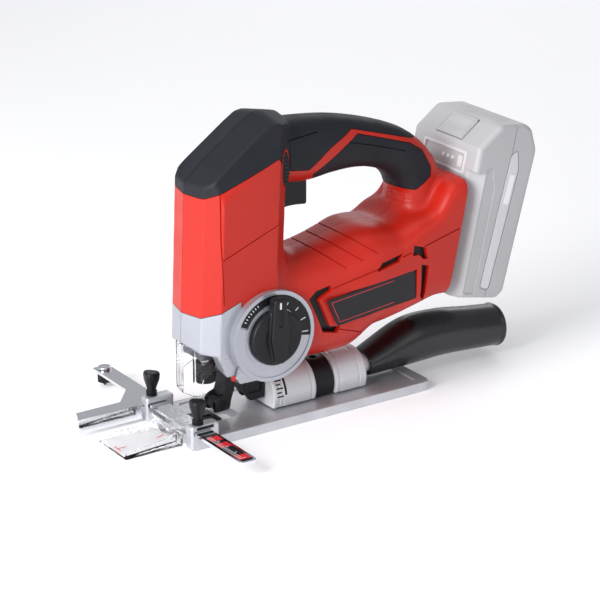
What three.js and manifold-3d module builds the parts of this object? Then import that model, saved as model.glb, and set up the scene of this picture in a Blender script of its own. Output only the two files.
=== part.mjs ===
// A cordless jigsaw with its parallel guide, dust tube and battery pack, as separate solids.
//
// Millimetres, +Z up. The sole stands on z = 0, the blade end points to -X and the battery to +X.
// The tool is symmetrical about y = 0, and its left side is -Y. x = 0 is half way along the sole.
import * as THREE from 'three';
import { mergeVertices } from 'three/addons/utils/BufferGeometryUtils.js';
import Module from 'manifold-3d';

const wasm = await Module();
wasm.setup();

// ---- Driving dimensions ----

const GAP = 0.3;                 // clearance between pieces that touch
const SKIN = 3;                  // thickness of the soft grips and of the metal nose cover
const WALL = 6;                  // from the outside of the tool to its inner space
const WIDE = 60;                 // beyond the tool on either side

const SOLE_HALF_LENGTH = 92.8;
const SOLE_HALF_WIDTH = 32.6;
const SOLE_THICKNESS = 6.7;
const SOLE_TOP = SOLE_THICKNESS;

const TILT_AXIS_Z = 14;          // height of the bevel axis above the ground
const CRADLE_RADIUS = 17.5;

const HEAD_FRONT = -84.1;        // front edge at the foot of the nose
const HEAD_FOOT_Z = 61;
const HEAD_LEAN = 0.0434;        // the nose leans back by this much per millimetre of height
const HEAD_HALF_WIDTH = 27.2;

const MOTOR_TILT = THREE.MathUtils.degToRad(12);
const MOTOR_AXIS_Z = 80;         // height of the motor axis at x = 0
const MOTOR_RADIUS = 22.5;

const PINION_TEETH = 8;
const GEAR_TEETH = 36;
const TOOTH_MODULE = 1;
const GEAR_OFFSET = TOOTH_MODULE * (PINION_TEETH + GEAR_TEETH) / 2;
const CRANK_RADIUS = 10;         // half the stroke

const PLUNGER_X = -66;
const DIAL_X = -33.5;
const DIAL_Z = 65.5;
const DIAL_RADIUS = 30.5;

const ROLLER_X = -57.5;
const ROLLER_Z = 14.2;
const ROLLER_RADIUS = 5.2;
const BRACKET_PIVOT_X = -44;
const BRACKET_PIVOT_Z = 40;

const THUMB_X = -89.6;           // the two thumb screws over the guide bar
const THUMB_Y = 29;
const BLOCK_INNER_Y = 24;        // inner face of the blocks that hold the bar
const BLOCK_TOP = 16.5;

const BAR_FRONT = -94.2;
const BAR_REAR = -82;
const BAR_BOTTOM = 10.6;
const BAR_TOP = 12.6;

const BATTERY_LEAN = THREE.MathUtils.degToRad(11.6);
const BATTERY_FOOT_X = 105.5;    // lower front corner of the pack
const BATTERY_FOOT_Z = 64;
const BATTERY_LENGTH = 121;
const BATTERY_FOOT_DEPTH = 44;
const BATTERY_TOP_DEPTH = 49.4;
const BATTERY_HALF_WIDTH = 36.5;

const TUBE_REAR = 171;
const TUBE_RADIUS = 15.3;

// ---- Materials ----

const finish = (color, roughness, metalness = 0) => new THREE.MeshStandardMaterial({ color, roughness, metalness });

const RED = finish(0xc82a23, 0.42);
const RUBBER = finish(0x26282d, 0.8);
const SILVER = finish(0xb9bec8, 0.38, 0.5);
const LABEL = finish(0x17181b, 0.35);
const BLACK = finish(0x141416, 0.5);
const ALLOY = finish(0xa9adb2, 0.45, 0.9);
const STEEL = finish(0xc8ccd0, 0.25, 1);
const CRADLE_GREY = finish(0xc9ccd1, 0.5);
const CLEAR = finish(0xe8eef2, 0.08);
const COPPER = finish(0xb06a3a, 0.4, 1);
const BRONZE = finish(0x9c7a45, 0.5, 0.9);
const BOARD = finish(0x1f5a35, 0.6);
const PACK = finish(0xb9b9bb, 0.55);
const RELEASE_RED = finish(0xb3201c, 0.45);

// ---- Solids ----

// A closed three.js geometry as a manifold solid.
function solid(geometry) {
  const bare = geometry.index ? geometry.toNonIndexed() : geometry.clone();
  bare.deleteAttribute('normal');
  bare.deleteAttribute('uv');
  const merged = mergeVertices(bare, 1e-4);
  return new wasm.Manifold(new wasm.Mesh({
    numProp: 3,
    vertProperties: new Float32Array(merged.attributes.position.array),
    triVerts: new Uint32Array(merged.index.array),
  }));
}

function geometryOf(shape) {
  const mesh = shape.getMesh();
  const geometry = new THREE.BufferGeometry();
  geometry.setAttribute('position', new THREE.BufferAttribute(new Float32Array(mesh.vertProperties), 3));
  geometry.setIndex(new THREE.BufferAttribute(new Uint32Array(mesh.triVerts), 1));
  geometry.computeVertexNormals();
  return geometry;
}

const join = (first, ...others) => others.reduce((sum, other) => sum.add(other), first);
const cut = (first, ...others) => others.reduce((rest, other) => rest.subtract(other), first);

function box(x0, x1, y0, y1, z0, z1) {
  const geometry = new THREE.BoxGeometry(x1 - x0, y1 - y0, z1 - z0);
  geometry.translate((x0 + x1) / 2, (y0 + y1) / 2, (z0 + z1) / 2);
  return solid(geometry);
}

const X_AXIS = new THREE.Vector3(1, 0, 0);
const Y_AXIS = new THREE.Vector3(0, 1, 0);
const Z_AXIS = new THREE.Vector3(0, 0, 1);
const BACK_Y = new THREE.Vector3(0, -1, 0);

function outline(points) {
  return new THREE.Shape(points.map(([a, b]) => new THREE.Vector2(a, b)));
}

function extrude(points, depth) {
  return new THREE.ExtrudeGeometry(outline(points), { depth, bevelEnabled: false, curveSegments: 8 });
}

// Side view: points are (x, z), and the prism runs from y0 to y1.
function prismY(points, y0, y1) {
  const geometry = extrude(points, y1 - y0);
  geometry.applyMatrix4(new THREE.Matrix4().makeBasis(X_AXIS, Z_AXIS, BACK_Y));
  geometry.translate(0, y1, 0);
  return solid(geometry);
}

// Front view: points are (y, z), and the prism runs from x0 to x1.
function prismX(points, x0, x1) {
  const geometry = extrude(points, x1 - x0);
  geometry.applyMatrix4(new THREE.Matrix4().makeBasis(Y_AXIS, Z_AXIS, X_AXIS));
  geometry.translate(x0, 0, 0);
  return solid(geometry);
}

// Plan view: points are (x, y), and the prism runs from z0 to z1.
function prismZ(points, z0, z1) {
  const geometry = extrude(points, z1 - z0);
  geometry.translate(0, 0, z0);
  return solid(geometry);
}

// A round bar between two points.
function rod(from, to, radius, sides = 16, radiusTo = radius) {
  const start = new THREE.Vector3(...from);
  const end = new THREE.Vector3(...to);
  const along = end.clone().sub(start);
  const geometry = new THREE.CylinderGeometry(radiusTo, radius, along.length(), sides);
  geometry.applyQuaternion(new THREE.Quaternion().setFromUnitVectors(Y_AXIS, along.clone().normalize()));
  geometry.translate(...start.add(end).multiplyScalar(0.5).toArray());
  return solid(geometry);
}

// A skin over rings of points, each ring with the same number, closed at both ends by a fan.
function loft(rings) {
  const count = rings[0].length;
  const positions = [];
  const index = [];
  rings.forEach((ring) => ring.forEach((point) => positions.push(...point)));
  for (let r = 0; r + 1 < rings.length; r++) {
    for (let i = 0; i < count; i++) {
      const a = r * count + i;
      const b = r * count + (i + 1) % count;
      index.push(a, b, b + count, a, b + count, a + count);
    }
  }
  [0, rings.length - 1].forEach((r) => {
    const centre = positions.length / 3;
    const middle = [0, 1, 2].map((k) => rings[r].reduce((sum, point) => sum + point[k], 0) / count);
    positions.push(...middle);
    for (let i = 0; i < count; i++) {
      const a = r * count + i;
      const b = r * count + (i + 1) % count;
      index.push(...(r === 0 ? [centre, b, a] : [centre, a, b]));
    }
  });
  const geometry = new THREE.BufferGeometry();
  geometry.setAttribute('position', new THREE.Float32BufferAttribute(positions, 3));
  geometry.setIndex(index);
  return solid(geometry);
}

// One rounded section across the tool. It stands at (x, z), its normal turned by tilt degrees from +X
// towards +Z, and power sets how square it is.
function section(x, z, tilt, halfWidth, halfHeight, power, inset, sides = 14) {
  const angle = THREE.MathUtils.degToRad(tilt);
  const ring = [];
  for (let i = 0; i < sides; i++) {
    const turn = (2 * Math.PI * (i + 0.5)) / sides;
    const c = Math.cos(turn);
    const s = Math.sin(turn);
    const across = (halfWidth - inset) * Math.sign(c) * Math.abs(c) ** (2 / power);
    const up = (halfHeight - inset) * Math.sign(s) * Math.abs(s) ** (2 / power);
    ring.push([x - up * Math.sin(angle), across, z + up * Math.cos(angle)]);
  }
  return ring;
}

// ---- The outer form of the tool, which every shell is cut from ----

function head(inset) {
  const side = HEAD_HALF_WIDTH - inset;
  const front = HEAD_FRONT + inset;
  const chamfer = 9.4;
  const corner = side - chamfer;
  const rear = -17 - inset;
  const plan = [
    [front, 0], [front + 4.1, -corner], [front + 4.1 + chamfer, -side], [-30, -side], [-21 - inset, -20 + inset],
    [rear, -11], [rear, 11], [-21 - inset, 20 - inset], [-30, side], [front + 4.1 + chamfer, side],
    [front + 4.1, corner],
  ];
  const column = extrude(plan, 175);
  column.applyMatrix4(new THREE.Matrix4().makeShear(0, 0, 0, 0, HEAD_LEAN, 0));
  column.translate(-HEAD_LEAN * (HEAD_FOOT_Z - 36), 0, 36);
  const roof = prismY([
    [HEAD_FRONT - 5, HEAD_FOOT_Z], [-72, HEAD_FOOT_Z], [-66, 47 + inset], [-43, 47 + inset],
    [-42, 36 + inset], [0, 36 + inset], [0, 202 - inset], [-23, 206 - inset], [-29, 205.4 - inset],
    [-38, 199.6 - inset], [-66, 180.2 - inset], [-79.4 + inset, 167.6 - inset], [-80.5, 166],
  ], -40, 40);
  // The top narrows in a long bevel on each side.
  const reach = 160;
  const shoulder = extrude([
    [-22 + inset, 0], [-side, -13], [-side, -400], [side, -400], [side, -13], [22 - inset, 0],
  ], 2 * reach);
  const slope = THREE.MathUtils.degToRad(34.5);
  const along = new THREE.Vector3(Math.cos(slope), 0, Math.sin(slope));
  const up = new THREE.Vector3(-Math.sin(slope), 0, Math.cos(slope));
  shoulder.applyMatrix4(new THREE.Matrix4().makeBasis(Y_AXIS, up, along));
  shoulder.translate(-100 - reach * along.x, 0, 156.8 - inset - reach * along.z);
  return solid(column).intersect(roof).intersect(solid(shoulder));
}

function handle(inset) {
  return loft([
    section(-34, 178, 0, 17, 20, 2.6, inset),
    section(-12, 178, 0, 19, 21.5, 2.6, inset),
    section(8, 176.6, -2, 18, 22, 2.6, inset),
    section(28, 176.4, -5, 17.4, 19.8, 2.6, inset),
    section(46, 174.6, -10, 17, 17.6, 2.6, inset),
    section(62, 171, -18, 17, 16.4, 2.6, inset),
    section(77, 165, -30, 17.4, 16.4, 2.6, inset),
    section(89, 155, -48, 18, 17.2, 2.6, inset),
    section(96.5, 141, -70, 19.5, 18.5, 2.8, inset),
    section(98, 120, -88, 22, 19, 3, inset),
  ]);
}

// Stations of the motor barrel and battery foot: x, bottom, top, half width, squareness.
const BARREL = [
  [-44, 36, 108, 22, 2.3],
  [-20, 36, 110.5, 28, 2.4],
  [0, 36, 111.8, 31.5, 2.4],
  [20, 36, 115, 34.5, 2.4],
  [32, 38, 117.6, 36, 2.5],
  [48, 49.5, 120.6, 37, 2.8],
  [58, 52.6, 119.6, 37, 3.2],
  [66, 55.4, 118.4, 37, 3.6],
  [80, 61, 122.6, 37, 5],
  [94, 65.6, 128, 37, 6.6],
  [104, 66, 140, 37, 8],
  [124, 66, 146, 37, 8.4],
];

function barrel(inset) {
  return loft(BARREL.map(([x, bottom, top, halfWidth, power]) => (
    section(x, (bottom + top) / 2, 0, halfWidth, (top - bottom) / 2, power, inset)
  )));
}

// The tool ends in a flat rear face that leans back with the battery.
function outerForm(inset) {
  const rearAt = (z) => 102.4 + Math.tan(BATTERY_LEAN) * (z - 66) - inset;
  const infront = prismY([[-120, 20], [rearAt(20), 20], [rearAt(240), 240], [-120, 240]], -WIDE, WIDE);
  return join(head(inset), handle(inset), barrel(inset)).intersect(infront);
}

const OUTER = outerForm(0);
const UNDER_SKIN = outerForm(SKIN);
const UNDER_SKIN_CLEAR = outerForm(SKIN + GAP);
const INNER = outerForm(WALL);
const RIB_REACH = outerForm(WALL - 1);

// Side views of the pieces let into the shells. The clear one is larger by the gap all round.
const TOP_GRIP = [
  [-95, 162], [-76.6, 160.6], [-68, 164.6], [-26, 181], [-17, 170], [-12, 168.5], [4, 166],
  [20, 178], [38, 187.6], [62, 180.8], [88, 173], [98, 171], [98, 190], [60, 205], [0, 215], [-60, 215],
];
const PALM_GRIP = [
  [42, 183.4], [60, 178], [84, 170.4], [94, 164], [100, 152], [99, 146], [88, 138.6], [78, 139.6], [66, 152],
  [56, 152], [30, 152], [22, 160.8], [16, 153], [12, 155], [8.6, 161.6],
];
const GEAR_COVER = [
  [-95, 82], [-84.2, 81.8], [-79.6, 82], [-67, 87.2], [-55, 91.4], [-55, 50], [-60, 46], [-74, 58], [-95, 58],
];

// An outline grown or shrunk by moving each of its corners along the mean of its two edge normals.
function grown(points, amount) {
  const turnSum = points.reduce((sum, [x, z], i) => {
    const [nextX, nextZ] = points[(i + 1) % points.length];
    return sum + x * nextZ - nextX * z;
  }, 0);
  const outward = Math.sign(turnSum);
  return points.map(([x, z], i) => {
    const [beforeX, beforeZ] = points[(i + points.length - 1) % points.length];
    const [afterX, afterZ] = points[(i + 1) % points.length];
    const first = new THREE.Vector2(z - beforeZ, beforeX - x).normalize();
    const second = new THREE.Vector2(afterZ - z, x - afterX).normalize();
    const mean = first.clone().add(second);
    const scale = (2 * amount * outward) / Math.max(mean.lengthSq(), 0.6);
    return [x + mean.x * scale, z + mean.y * scale];
  });
}

const LEFT_HALF = box(-200, 200, -WIDE, -GAP / 2, 0, 250);
const RIGHT_HALF = box(-200, 200, GAP / 2, WIDE, 0, 250);

const SKIN_LAYER = OUTER.subtract(UNDER_SKIN);
const zone = (points, amount = 0) => prismY(amount ? grown(points, amount) : points, -WIDE, WIDE);

function inlay(points, half) {
  return SKIN_LAYER.intersect(zone(points)).intersect(half);
}

// ---- The motor axis and what lies on it ----

const AXIS = new THREE.Vector3(Math.cos(MOTOR_TILT), 0, Math.sin(MOTOR_TILT));
const AXIS_UP = new THREE.Vector3(-Math.sin(MOTOR_TILT), 0, Math.cos(MOTOR_TILT));

// A point on the motor axis, or at a height above it, by its distance from x = 0 along the axis.
function onAxis(distance, above = 0) {
  return [
    AXIS.x * distance + AXIS_UP.x * above,
    0,
    MOTOR_AXIS_Z + AXIS.z * distance + AXIS_UP.z * above,
  ];
}

const onAxisRod = (from, to, radius, sides, above = 0) => rod(onAxis(from, above), onAxis(to, above), radius, sides);

function ring(from, to, outer, inner, sides = 16, above = 0) {
  return cut(onAxisRod(from, to, outer, sides, above), onAxisRod(from - 1, to + 1, inner, sides, above));
}

// A toothed wheel across the motor axis. Its teeth end short of the pitch circle of its partner.
function toothed(from, to, teeth, above) {
  const pitch = (TOOTH_MODULE * teeth) / 2;
  const tip = pitch - GAP / 2;
  const root = tip - TOOTH_MODULE;
  const points = [];
  for (let i = 0; i < teeth; i++) {
    [[0, root], [0.5, tip]].forEach(([part, radius]) => {
      const turn = (2 * Math.PI * (i + part)) / teeth;
      points.push([radius * Math.cos(turn), radius * Math.sin(turn)]);
    });
  }
  const geometry = extrude(points, to - from);
  geometry.applyMatrix4(new THREE.Matrix4().makeBasis(Y_AXIS, AXIS_UP, AXIS));
  geometry.translate(...onAxis(from, above));
  return solid(geometry);
}

const SHAFT_RADIUS = 2.5;
const PINION_FROM = -42;
const PINION_TO = -33;
const GEAR_BORE = 3;
const GEAR_FROM = -41;
const GEAR_TO = -35;
const CRANK_PIN_LENGTH = 5.5;

// ---- The tool's inner spaces ----

const TRIGGER = { x0: -11, x1: 8.6, halfWidth: 7.5, bottom: 139.5, top: 162, travel: 6 };
const POCKET_BOTTOM = 128;          // leaves the top of the barrel closed below the trigger
const LOCK = { x: -17.6, z: 171.6, halfLength: 3.6, halfHeight: 11.2, inner: -12, outer: -21.6, travel: 3 };

function ovalY(centreX, centreZ, halfX, halfZ, y0, y1) {
  const points = [];
  for (let i = 0; i < 20; i++) {
    const turn = (2 * Math.PI * i) / 20;
    points.push([centreX + halfX * Math.cos(turn), centreZ + halfZ * Math.sin(turn)]);
  }
  return prismY(points, y0, y1);
}

const lockPocket = ovalY(LOCK.x, LOCK.z, LOCK.halfLength + GAP, LOCK.halfHeight + GAP, -30, LOCK.inner + LOCK.travel);
const triggerPocket = box(
  TRIGGER.x0 - GAP, TRIGGER.x1 + GAP, -TRIGGER.halfWidth - GAP, TRIGGER.halfWidth + GAP,
  POCKET_BOTTOM, TRIGGER.top + TRIGGER.travel + 0.6,
);
const noseWell = box(-77.6, -53.6, -16.4, 16.4, 30, 62);
const camBore = rod([DIAL_X, -40, DIAL_Z], [DIAL_X, 0, DIAL_Z], 5 + GAP);
const plungerBore = rod([PLUNGER_X, 0, 30], [PLUNGER_X, 0, 163], 5.2, 20);
const bracketSlot = box(-57.4, -34, -8.4, 8.4, 30, 52);

const leadWay = box(96, 140, -14, 14, 84, 124);

const motorRoom = onAxisRod(-0.5, 69.5, MOTOR_RADIUS + GAP, 20);

const INNER_SPACE = join(INNER, triggerPocket, noseWell, bracketSlot, leadWay, motorRoom);

const dialSeat = rod([DIAL_X, -29.2, DIAL_Z], [DIAL_X, -26, DIAL_Z], DIAL_RADIUS - 1.5, 28);
const dialRecess = rod([DIAL_X, -60, DIAL_Z], [DIAL_X, -29.2, DIAL_Z], DIAL_RADIUS + 0.5, 28);

// Plates on both flanks with a slanted front end.
const LABEL_PLATE = [[5, 82.5], [13.4, 63.6], [75.8, 70.6], [75.4, 90.4]];
const labelRecess = (side) => (
  side < 0 ? prismY(grown(LABEL_PLATE, GAP), -60, -34.4) : prismY(grown(LABEL_PLATE, GAP), 34.4, 60)
);

const SCREWS = [[22, 44], [92, 80], [-52, 152], [97, 120]];
const SCREW_HEAD_RADIUS = 3.2;
const SCREW_SHANK_RADIUS = 1.6;

function screwHole([x, z]) {
  return join(
    rod([x, 12, z], [x, 60, z], SCREW_HEAD_RADIUS + GAP, 16),
    rod([x, -9, z], [x, 13, z], SCREW_SHANK_RADIUS + GAP, 12),
  );
}

// Where a screw crosses the hollow, both shells have a boss round it.
function screwBoss([x, z]) {
  return rod([x, -WIDE, z], [x, WIDE, z], 5, 16).intersect(UNDER_SKIN_CLEAR);
}

// Two ribs across the barrel carry the motor can.
const motorRib = (from) => cut(
  onAxisRod(from, from + 3, 46, 24).intersect(RIB_REACH),
  onAxisRod(from - 1, from + 4, MOTOR_RADIUS + GAP, 20),
);

const shellBlank = cut(
  join(
    cut(
      OUTER,
      zone(TOP_GRIP, GAP),
      zone(PALM_GRIP, GAP),
      zone(GEAR_COVER, GAP),
    ),
    UNDER_SKIN_CLEAR,
  ),
  INNER_SPACE,
);

const shells = cut(
  join(shellBlank, dialSeat.subtract(INNER), motorRib(6), motorRib(52), ...SCREWS.map(screwBoss)),
  dialRecess,
  lockPocket,
  triggerPocket,
  camBore,
  plungerBore,
  noseWell,
  bracketSlot,
  labelRecess(-1),
  labelRecess(1),
  ...SCREWS.map(screwHole),
);

// ---- Putting the tool together ----

const group = new THREE.Group();

function add(name, shape, material) {
  const mesh = new THREE.Mesh(geometryOf(shape), material);
  mesh.name = name;
  group.add(mesh);
}

const largest = (shape) => shape.decompose().sort((a, b) => b.volume() - a.volume())[0];

[['left', LEFT_HALF], ['right', RIGHT_HALF]].forEach(([side, half]) => {
  add(`${side}_housing`, largest(shells.intersect(half)), RED);
  add(`${side}_top_grip`, largest(cut(inlay(TOP_GRIP, half), lockPocket)), RUBBER);
  add(`${side}_palm_grip`, largest(cut(inlay(PALM_GRIP, half), triggerPocket)), RUBBER);
  add(`${side}_gear_cover`, largest(cut(inlay(GEAR_COVER, half), noseWell, dialRecess, dialSeat)), SILVER);
});

add('left_label_plate', prismY(LABEL_PLATE, -35.9, -34.7), LABEL);
add('right_label_plate', prismY(LABEL_PLATE, 34.7, 35.9), LABEL);

SCREWS.forEach(([x, z], i) => {
  const seat = 12 + GAP;
  const head = rod([x, seat, z], [x, seat + 2.6, z], SCREW_HEAD_RADIUS, 16);
  const socket = rod([x, seat + 1.2, z], [x, seat + 4, z], 1.5, 6);
  add(`housing_screw_${i + 1}`, join(rod([x, -8, z], [x, seat + 1, z], SCREW_SHANK_RADIUS, 12), head).subtract(socket), STEEL);
});

// ---- Selector for the pendulum action ----

const CHIN = [[DIAL_X, DIAL_Z], [-57.4, 52.3], [-60.3, 41], [-58.8, 37.6], [-22, 36.8], [-4.5, 49]];
add('dial_plate', cut(
  join(rod([DIAL_X, -31.6, DIAL_Z], [DIAL_X, -29.5, DIAL_Z], DIAL_RADIUS, 36), prismY(CHIN, -31.6, -29.5)),
  rod([DIAL_X, -40, DIAL_Z], [DIAL_X, -20, DIAL_Z], 5 + GAP),
), SILVER);

const KNOB_RADIUS = 18.4;
const POINTER = [[-6.5, 0], [-4.4, 26.4], [0, 27.4], [4.4, 26.4], [6.5, 0], [4, -17], [-4, -17]];
const pointerOutline = POINTER.map(([x, z]) => [DIAL_X + x, DIAL_Z + z]);
add('selector_knob', join(
  rod([DIAL_X, -37, DIAL_Z], [DIAL_X, -31.9, DIAL_Z], KNOB_RADIUS, 28),
  prismY(pointerOutline, -40.6, -33),
), BLACK);
const camEnd = rod([DIAL_X, -14, DIAL_Z], [DIAL_X, -9, DIAL_Z], 5, 20);
add('cam_shaft', cut(
  rod([DIAL_X, -31.6, DIAL_Z], [DIAL_X, -9, DIAL_Z], 5, 20),
  camEnd.intersect(box(DIAL_X - 10, DIAL_X + 10, -15, -8, DIAL_Z + 1.5, DIAL_Z + 10)),
), STEEL);

// ---- Switch gear ----

const { x0, x1, halfWidth, bottom, top } = TRIGGER;
const fingerCurve = rod([x1 + 13, -20, bottom + 2], [x1 + 13, 20, bottom + 2], 14, 32);
add('trigger', box(x0, x1, -halfWidth, halfWidth, bottom, top).subtract(fingerCurve), BLACK);
add('lock_button', ovalY(LOCK.x, LOCK.z, LOCK.halfLength, LOCK.halfHeight, LOCK.outer, LOCK.inner), BLACK);
add('switch_module', box(-7, 30, -8.5, 8.5, 169.5, 185), BLACK);
add('control_board', box(76, 78, -20, 20, 86, 114), BOARD);
add('terminal_block', box(94, 99.6, -12, 12, 86, 110), BLACK);

// ---- Motor ----

add('motor_can', cut(
  onAxisRod(0, 62, MOTOR_RADIUS, 20),
  onAxisRod(2, 65, MOTOR_RADIUS - 3.6, 20),
  onAxisRod(-2, 10, 8.6, 16),
), ALLOY);
add('rear_bearing', ring(63, 69, 8, SHAFT_RADIUS + GAP), STEEL);
add('motor_end_bracket', cut(ring(62.4, 69, MOTOR_RADIUS, 8 + GAP), box(20, 90, -3, 3, 20, 74)), BLACK);
add('front_bearing', ring(-31, -25, 8, SHAFT_RADIUS + GAP), STEEL);
add('bearing_plate', cut(
  join(onAxisRod(-31, -25, 18.5, 20), onAxisRod(-31, -25, 8, 12, GEAR_OFFSET)),
  onAxisRod(-33, -20, 8 + GAP, 16),
  onAxisRod(-33, -20, GEAR_BORE, 12, GEAR_OFFSET),
  rod([DIAL_X, -30, DIAL_Z], [DIAL_X, -8, DIAL_Z], 5.6),
), ALLOY);
add('gear_axle', onAxisRod(-45, -25, GEAR_BORE - GAP, 12, GEAR_OFFSET), STEEL);

add('motor_shaft', join(
  onAxisRod(-43, 72, SHAFT_RADIUS, 12),
  toothed(PINION_FROM, PINION_TO, PINION_TEETH, 0),
), STEEL);
const onShaft = (from, to, radius, sides) => ring(from, to, radius, SHAFT_RADIUS + GAP, sides);
const slots = [];
for (let i = 0; i < 5; i++) {
  const turn = (2 * Math.PI * i) / 5;
  const slot = box(-1.5, 60, -1.2, 1.2, 12, 30);
  slots.push(slot.rotate([(turn * 180) / Math.PI, 0, 0]).rotate([0, -12, 0]).translate([0, 0, MOTOR_AXIS_Z]));
}
add('armature', cut(
  join(onShaft(6, 44, MOTOR_RADIUS - 5, 20), onShaft(43, 56, 7.5, 16)),
  ...slots,
), COPPER);
const fanHub = onShaft(-13, -7, 6.5, 12);
const blades = [];
for (let i = 0; i < 6; i++) {
  const blade = box(-13, -7.6, -0.9, 0.9, 4, 18);
  blades.push(blade.rotate([i * 60, 0, 0]).rotate([0, -12, 0]).translate([0, 0, MOTOR_AXIS_Z]));
}
add('cooling_fan', join(fanHub, onShaft(-7.8, -6.6, 18.4, 16), ...blades), BLACK);

// ---- Crank gear, plunger and blade clamp ----

const crankPin = onAxisRod(GEAR_FROM - CRANK_PIN_LENGTH, GEAR_FROM + 1, 2.5, 12, GEAR_OFFSET);
add('crank_gear', cut(
  join(toothed(GEAR_FROM, GEAR_TO, GEAR_TEETH, GEAR_OFFSET), crankPin.translate([0, CRANK_RADIUS, 0])),
  onAxisRod(GEAR_FROM - 1, GEAR_TO + 1, GEAR_BORE, 12, GEAR_OFFSET),
), STEEL);

const GEARBOX_FOOT = 63;
const GEARBOX_TOP = 134;
const LOWER_BUSH = [GEARBOX_FOOT + 0.5, 74];
const UPPER_BUSH = [123.5, 133.5];
const gearboxForm = head(WALL + GAP).intersect(box(-90, -34, -WIDE, WIDE, GEARBOX_FOOT, GEARBOX_TOP));
const gearboxSpace = head(WALL + GAP + 3).intersect(box(-90, -33, -WIDE, WIDE, 75, 122));
add('gearbox_housing', cut(
  gearboxForm,
  gearboxSpace,
  box(-58, -30, -22, 22, 60, 140),
  rod([PLUNGER_X, 0, 60], [PLUNGER_X, 0, 140], 7.5 + GAP),
), ALLOY);

const bush = ([from, to]) => cut(
  rod([PLUNGER_X, 0, from], [PLUNGER_X, 0, to], 7.5),
  rod([PLUNGER_X, 0, from - 1], [PLUNGER_X, 0, to + 1], 4 + GAP),
);
add('lower_plunger_bush', bush(LOWER_BUSH), BRONZE);
add('upper_plunger_bush', bush(UPPER_BUSH), BRONZE);

const YOKE_Z = onAxis(GEAR_FROM, GEAR_OFFSET)[2];
add('plunger', join(
  rod([PLUNGER_X, 0, 45.3], [PLUNGER_X, 0, 150], 4),
  cut(
    box(-63.2, -53.4, -13.8, 13.8, YOKE_Z - 6.6, YOKE_Z + 6.6),
    box(-59, -50, -12.9, 12.9, YOKE_Z - 2.8, YOKE_Z + 2.8),
  ),
), STEEL);
add('blade_clamp', cut(
  join(
    rod([PLUNGER_X, 0, 31.5], [PLUNGER_X, 0, 45], 6.8),
    rod([PLUNGER_X, 0, 35], [PLUNGER_X, 0, 39], 7.2),
  ),
  box(PLUNGER_X - 4, PLUNGER_X + 4, -0.9, 0.9, 30, 42),
), BLACK);

const LEVER_X = -48;
const LEVER_Y = -13;
add('blade_release_lever', prismZ([
  [LEVER_X + 3, LEVER_Y - 1], [LEVER_X + 2.2, LEVER_Y + 2.4], [LEVER_X - 1.4, LEVER_Y + 3],
  [LEVER_X - 7.6, LEVER_Y - 1.4], [LEVER_X - 7.2, LEVER_Y - 5.2], [LEVER_X, LEVER_Y - 4.8],
], 33.5, 46.4), RELEASE_RED);

// ---- Guide roller behind the blade ----

add('roller_bracket', join(cut(
  prismY([
    [-40.6, 42], [-41, 36.6], [-46.6, 33], [-47.4, 24], [-50, 16.6], [-54.4, 11], [-57.6, 9.6], [-60.6, 10.6],
    [-62, 14], [-60.4, 18], [-56.4, 21], [-54.6, 27], [-54.4, 41], [-49.6, 44.4], [-43, 44.4],
  ], -6.6, 6.6),
  rod([ROLLER_X, -4.2, ROLLER_Z], [ROLLER_X, 4.2, ROLLER_Z], ROLLER_RADIUS + 0.5, 20),
), rod([ROLLER_X, -5, ROLLER_Z], [ROLLER_X, 5, ROLLER_Z], 1.4, 12), rod(
  [BRACKET_PIVOT_X, -8, BRACKET_PIVOT_Z], [BRACKET_PIVOT_X, 8, BRACKET_PIVOT_Z], 2.4, 12,
)), BLACK);
add('guide_roller', cut(
  rod([ROLLER_X, -3.8, ROLLER_Z], [ROLLER_X, 3.8, ROLLER_Z], ROLLER_RADIUS, 20),
  rod([ROLLER_X, -5, ROLLER_Z], [ROLLER_X, 5, ROLLER_Z], 1.7, 12),
), STEEL);

// ---- Clear guard in front of the blade ----

function guardForm(inset) {
  const plan = prismZ([
    [-83.6 + inset, 0], [-81.2 + inset, -11 + inset], [-77 + inset / 2, -16 + inset], [-50 + inset, -16 + inset],
    [-50 + inset, 16 - inset], [-77 + inset / 2, 16 - inset], [-81.2 + inset, 11 - inset],
  ], 20, 64);
  const taper = prismX([
    [-12 + inset, 20], [12 - inset, 20], [12 - inset, 27], [16 - inset, 56], [16 - inset, 70],
    [-16 + inset, 70], [-16 + inset, 56], [-12 + inset, 27],
  ], -100, 0);
  return plan.intersect(taper);
}
const guardSide = prismY([
  [-90, 26.8], [-76, 26.8], [-75, 38], [-61, 44], [-61, 59], [-71, 59], [-72.4, 60.6], [-90, 60.6],
], -WIDE, WIDE);
add('clear_guard', guardForm(0).subtract(guardForm(1.8)).intersect(guardSide), CLEAR);

// ---- Shoe: sole, bevel cradle and inserts ----

const slotHalf = 9.5;
const TILT_SCREW_X = 17.2;
const block = (side) => {
  const y = [side * BLOCK_INNER_Y, side * SOLE_HALF_WIDTH].sort((a, b) => a - b);
  return box(-96, -75.5, y[0], y[1], 0, BLOCK_TOP);
};
add('sole_plate', cut(
  join(
    prismZ([
      [-92.8, -32.6], [88.8, -32.6], [92.8, -28.6], [92.8, 28.6], [88.8, 32.6], [-92.8, 32.6],
    ], 0, SOLE_TOP),
    block(-1),
    block(1),
  ),
  box(-100, -46, -slotHalf, slotHalf, -1, 10),
  box(BAR_FRONT - 0.4, BAR_REAR + 0.4, -50, 50, BAR_BOTTOM - GAP, BAR_TOP + GAP),
  rod([THUMB_X, THUMB_Y, 12], [THUMB_X, THUMB_Y, 20], 2.2, 16),
  rod([THUMB_X, -THUMB_Y, 12], [THUMB_X, -THUMB_Y, 20], 2.2, 16),
  rod([TILT_SCREW_X, 0, -1], [TILT_SCREW_X, 0, 10], 2.5, 16),
  rod([TILT_SCREW_X, 0, -1], [TILT_SCREW_X, 0, 4.4], 4.8, 20),
), ALLOY);

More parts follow.
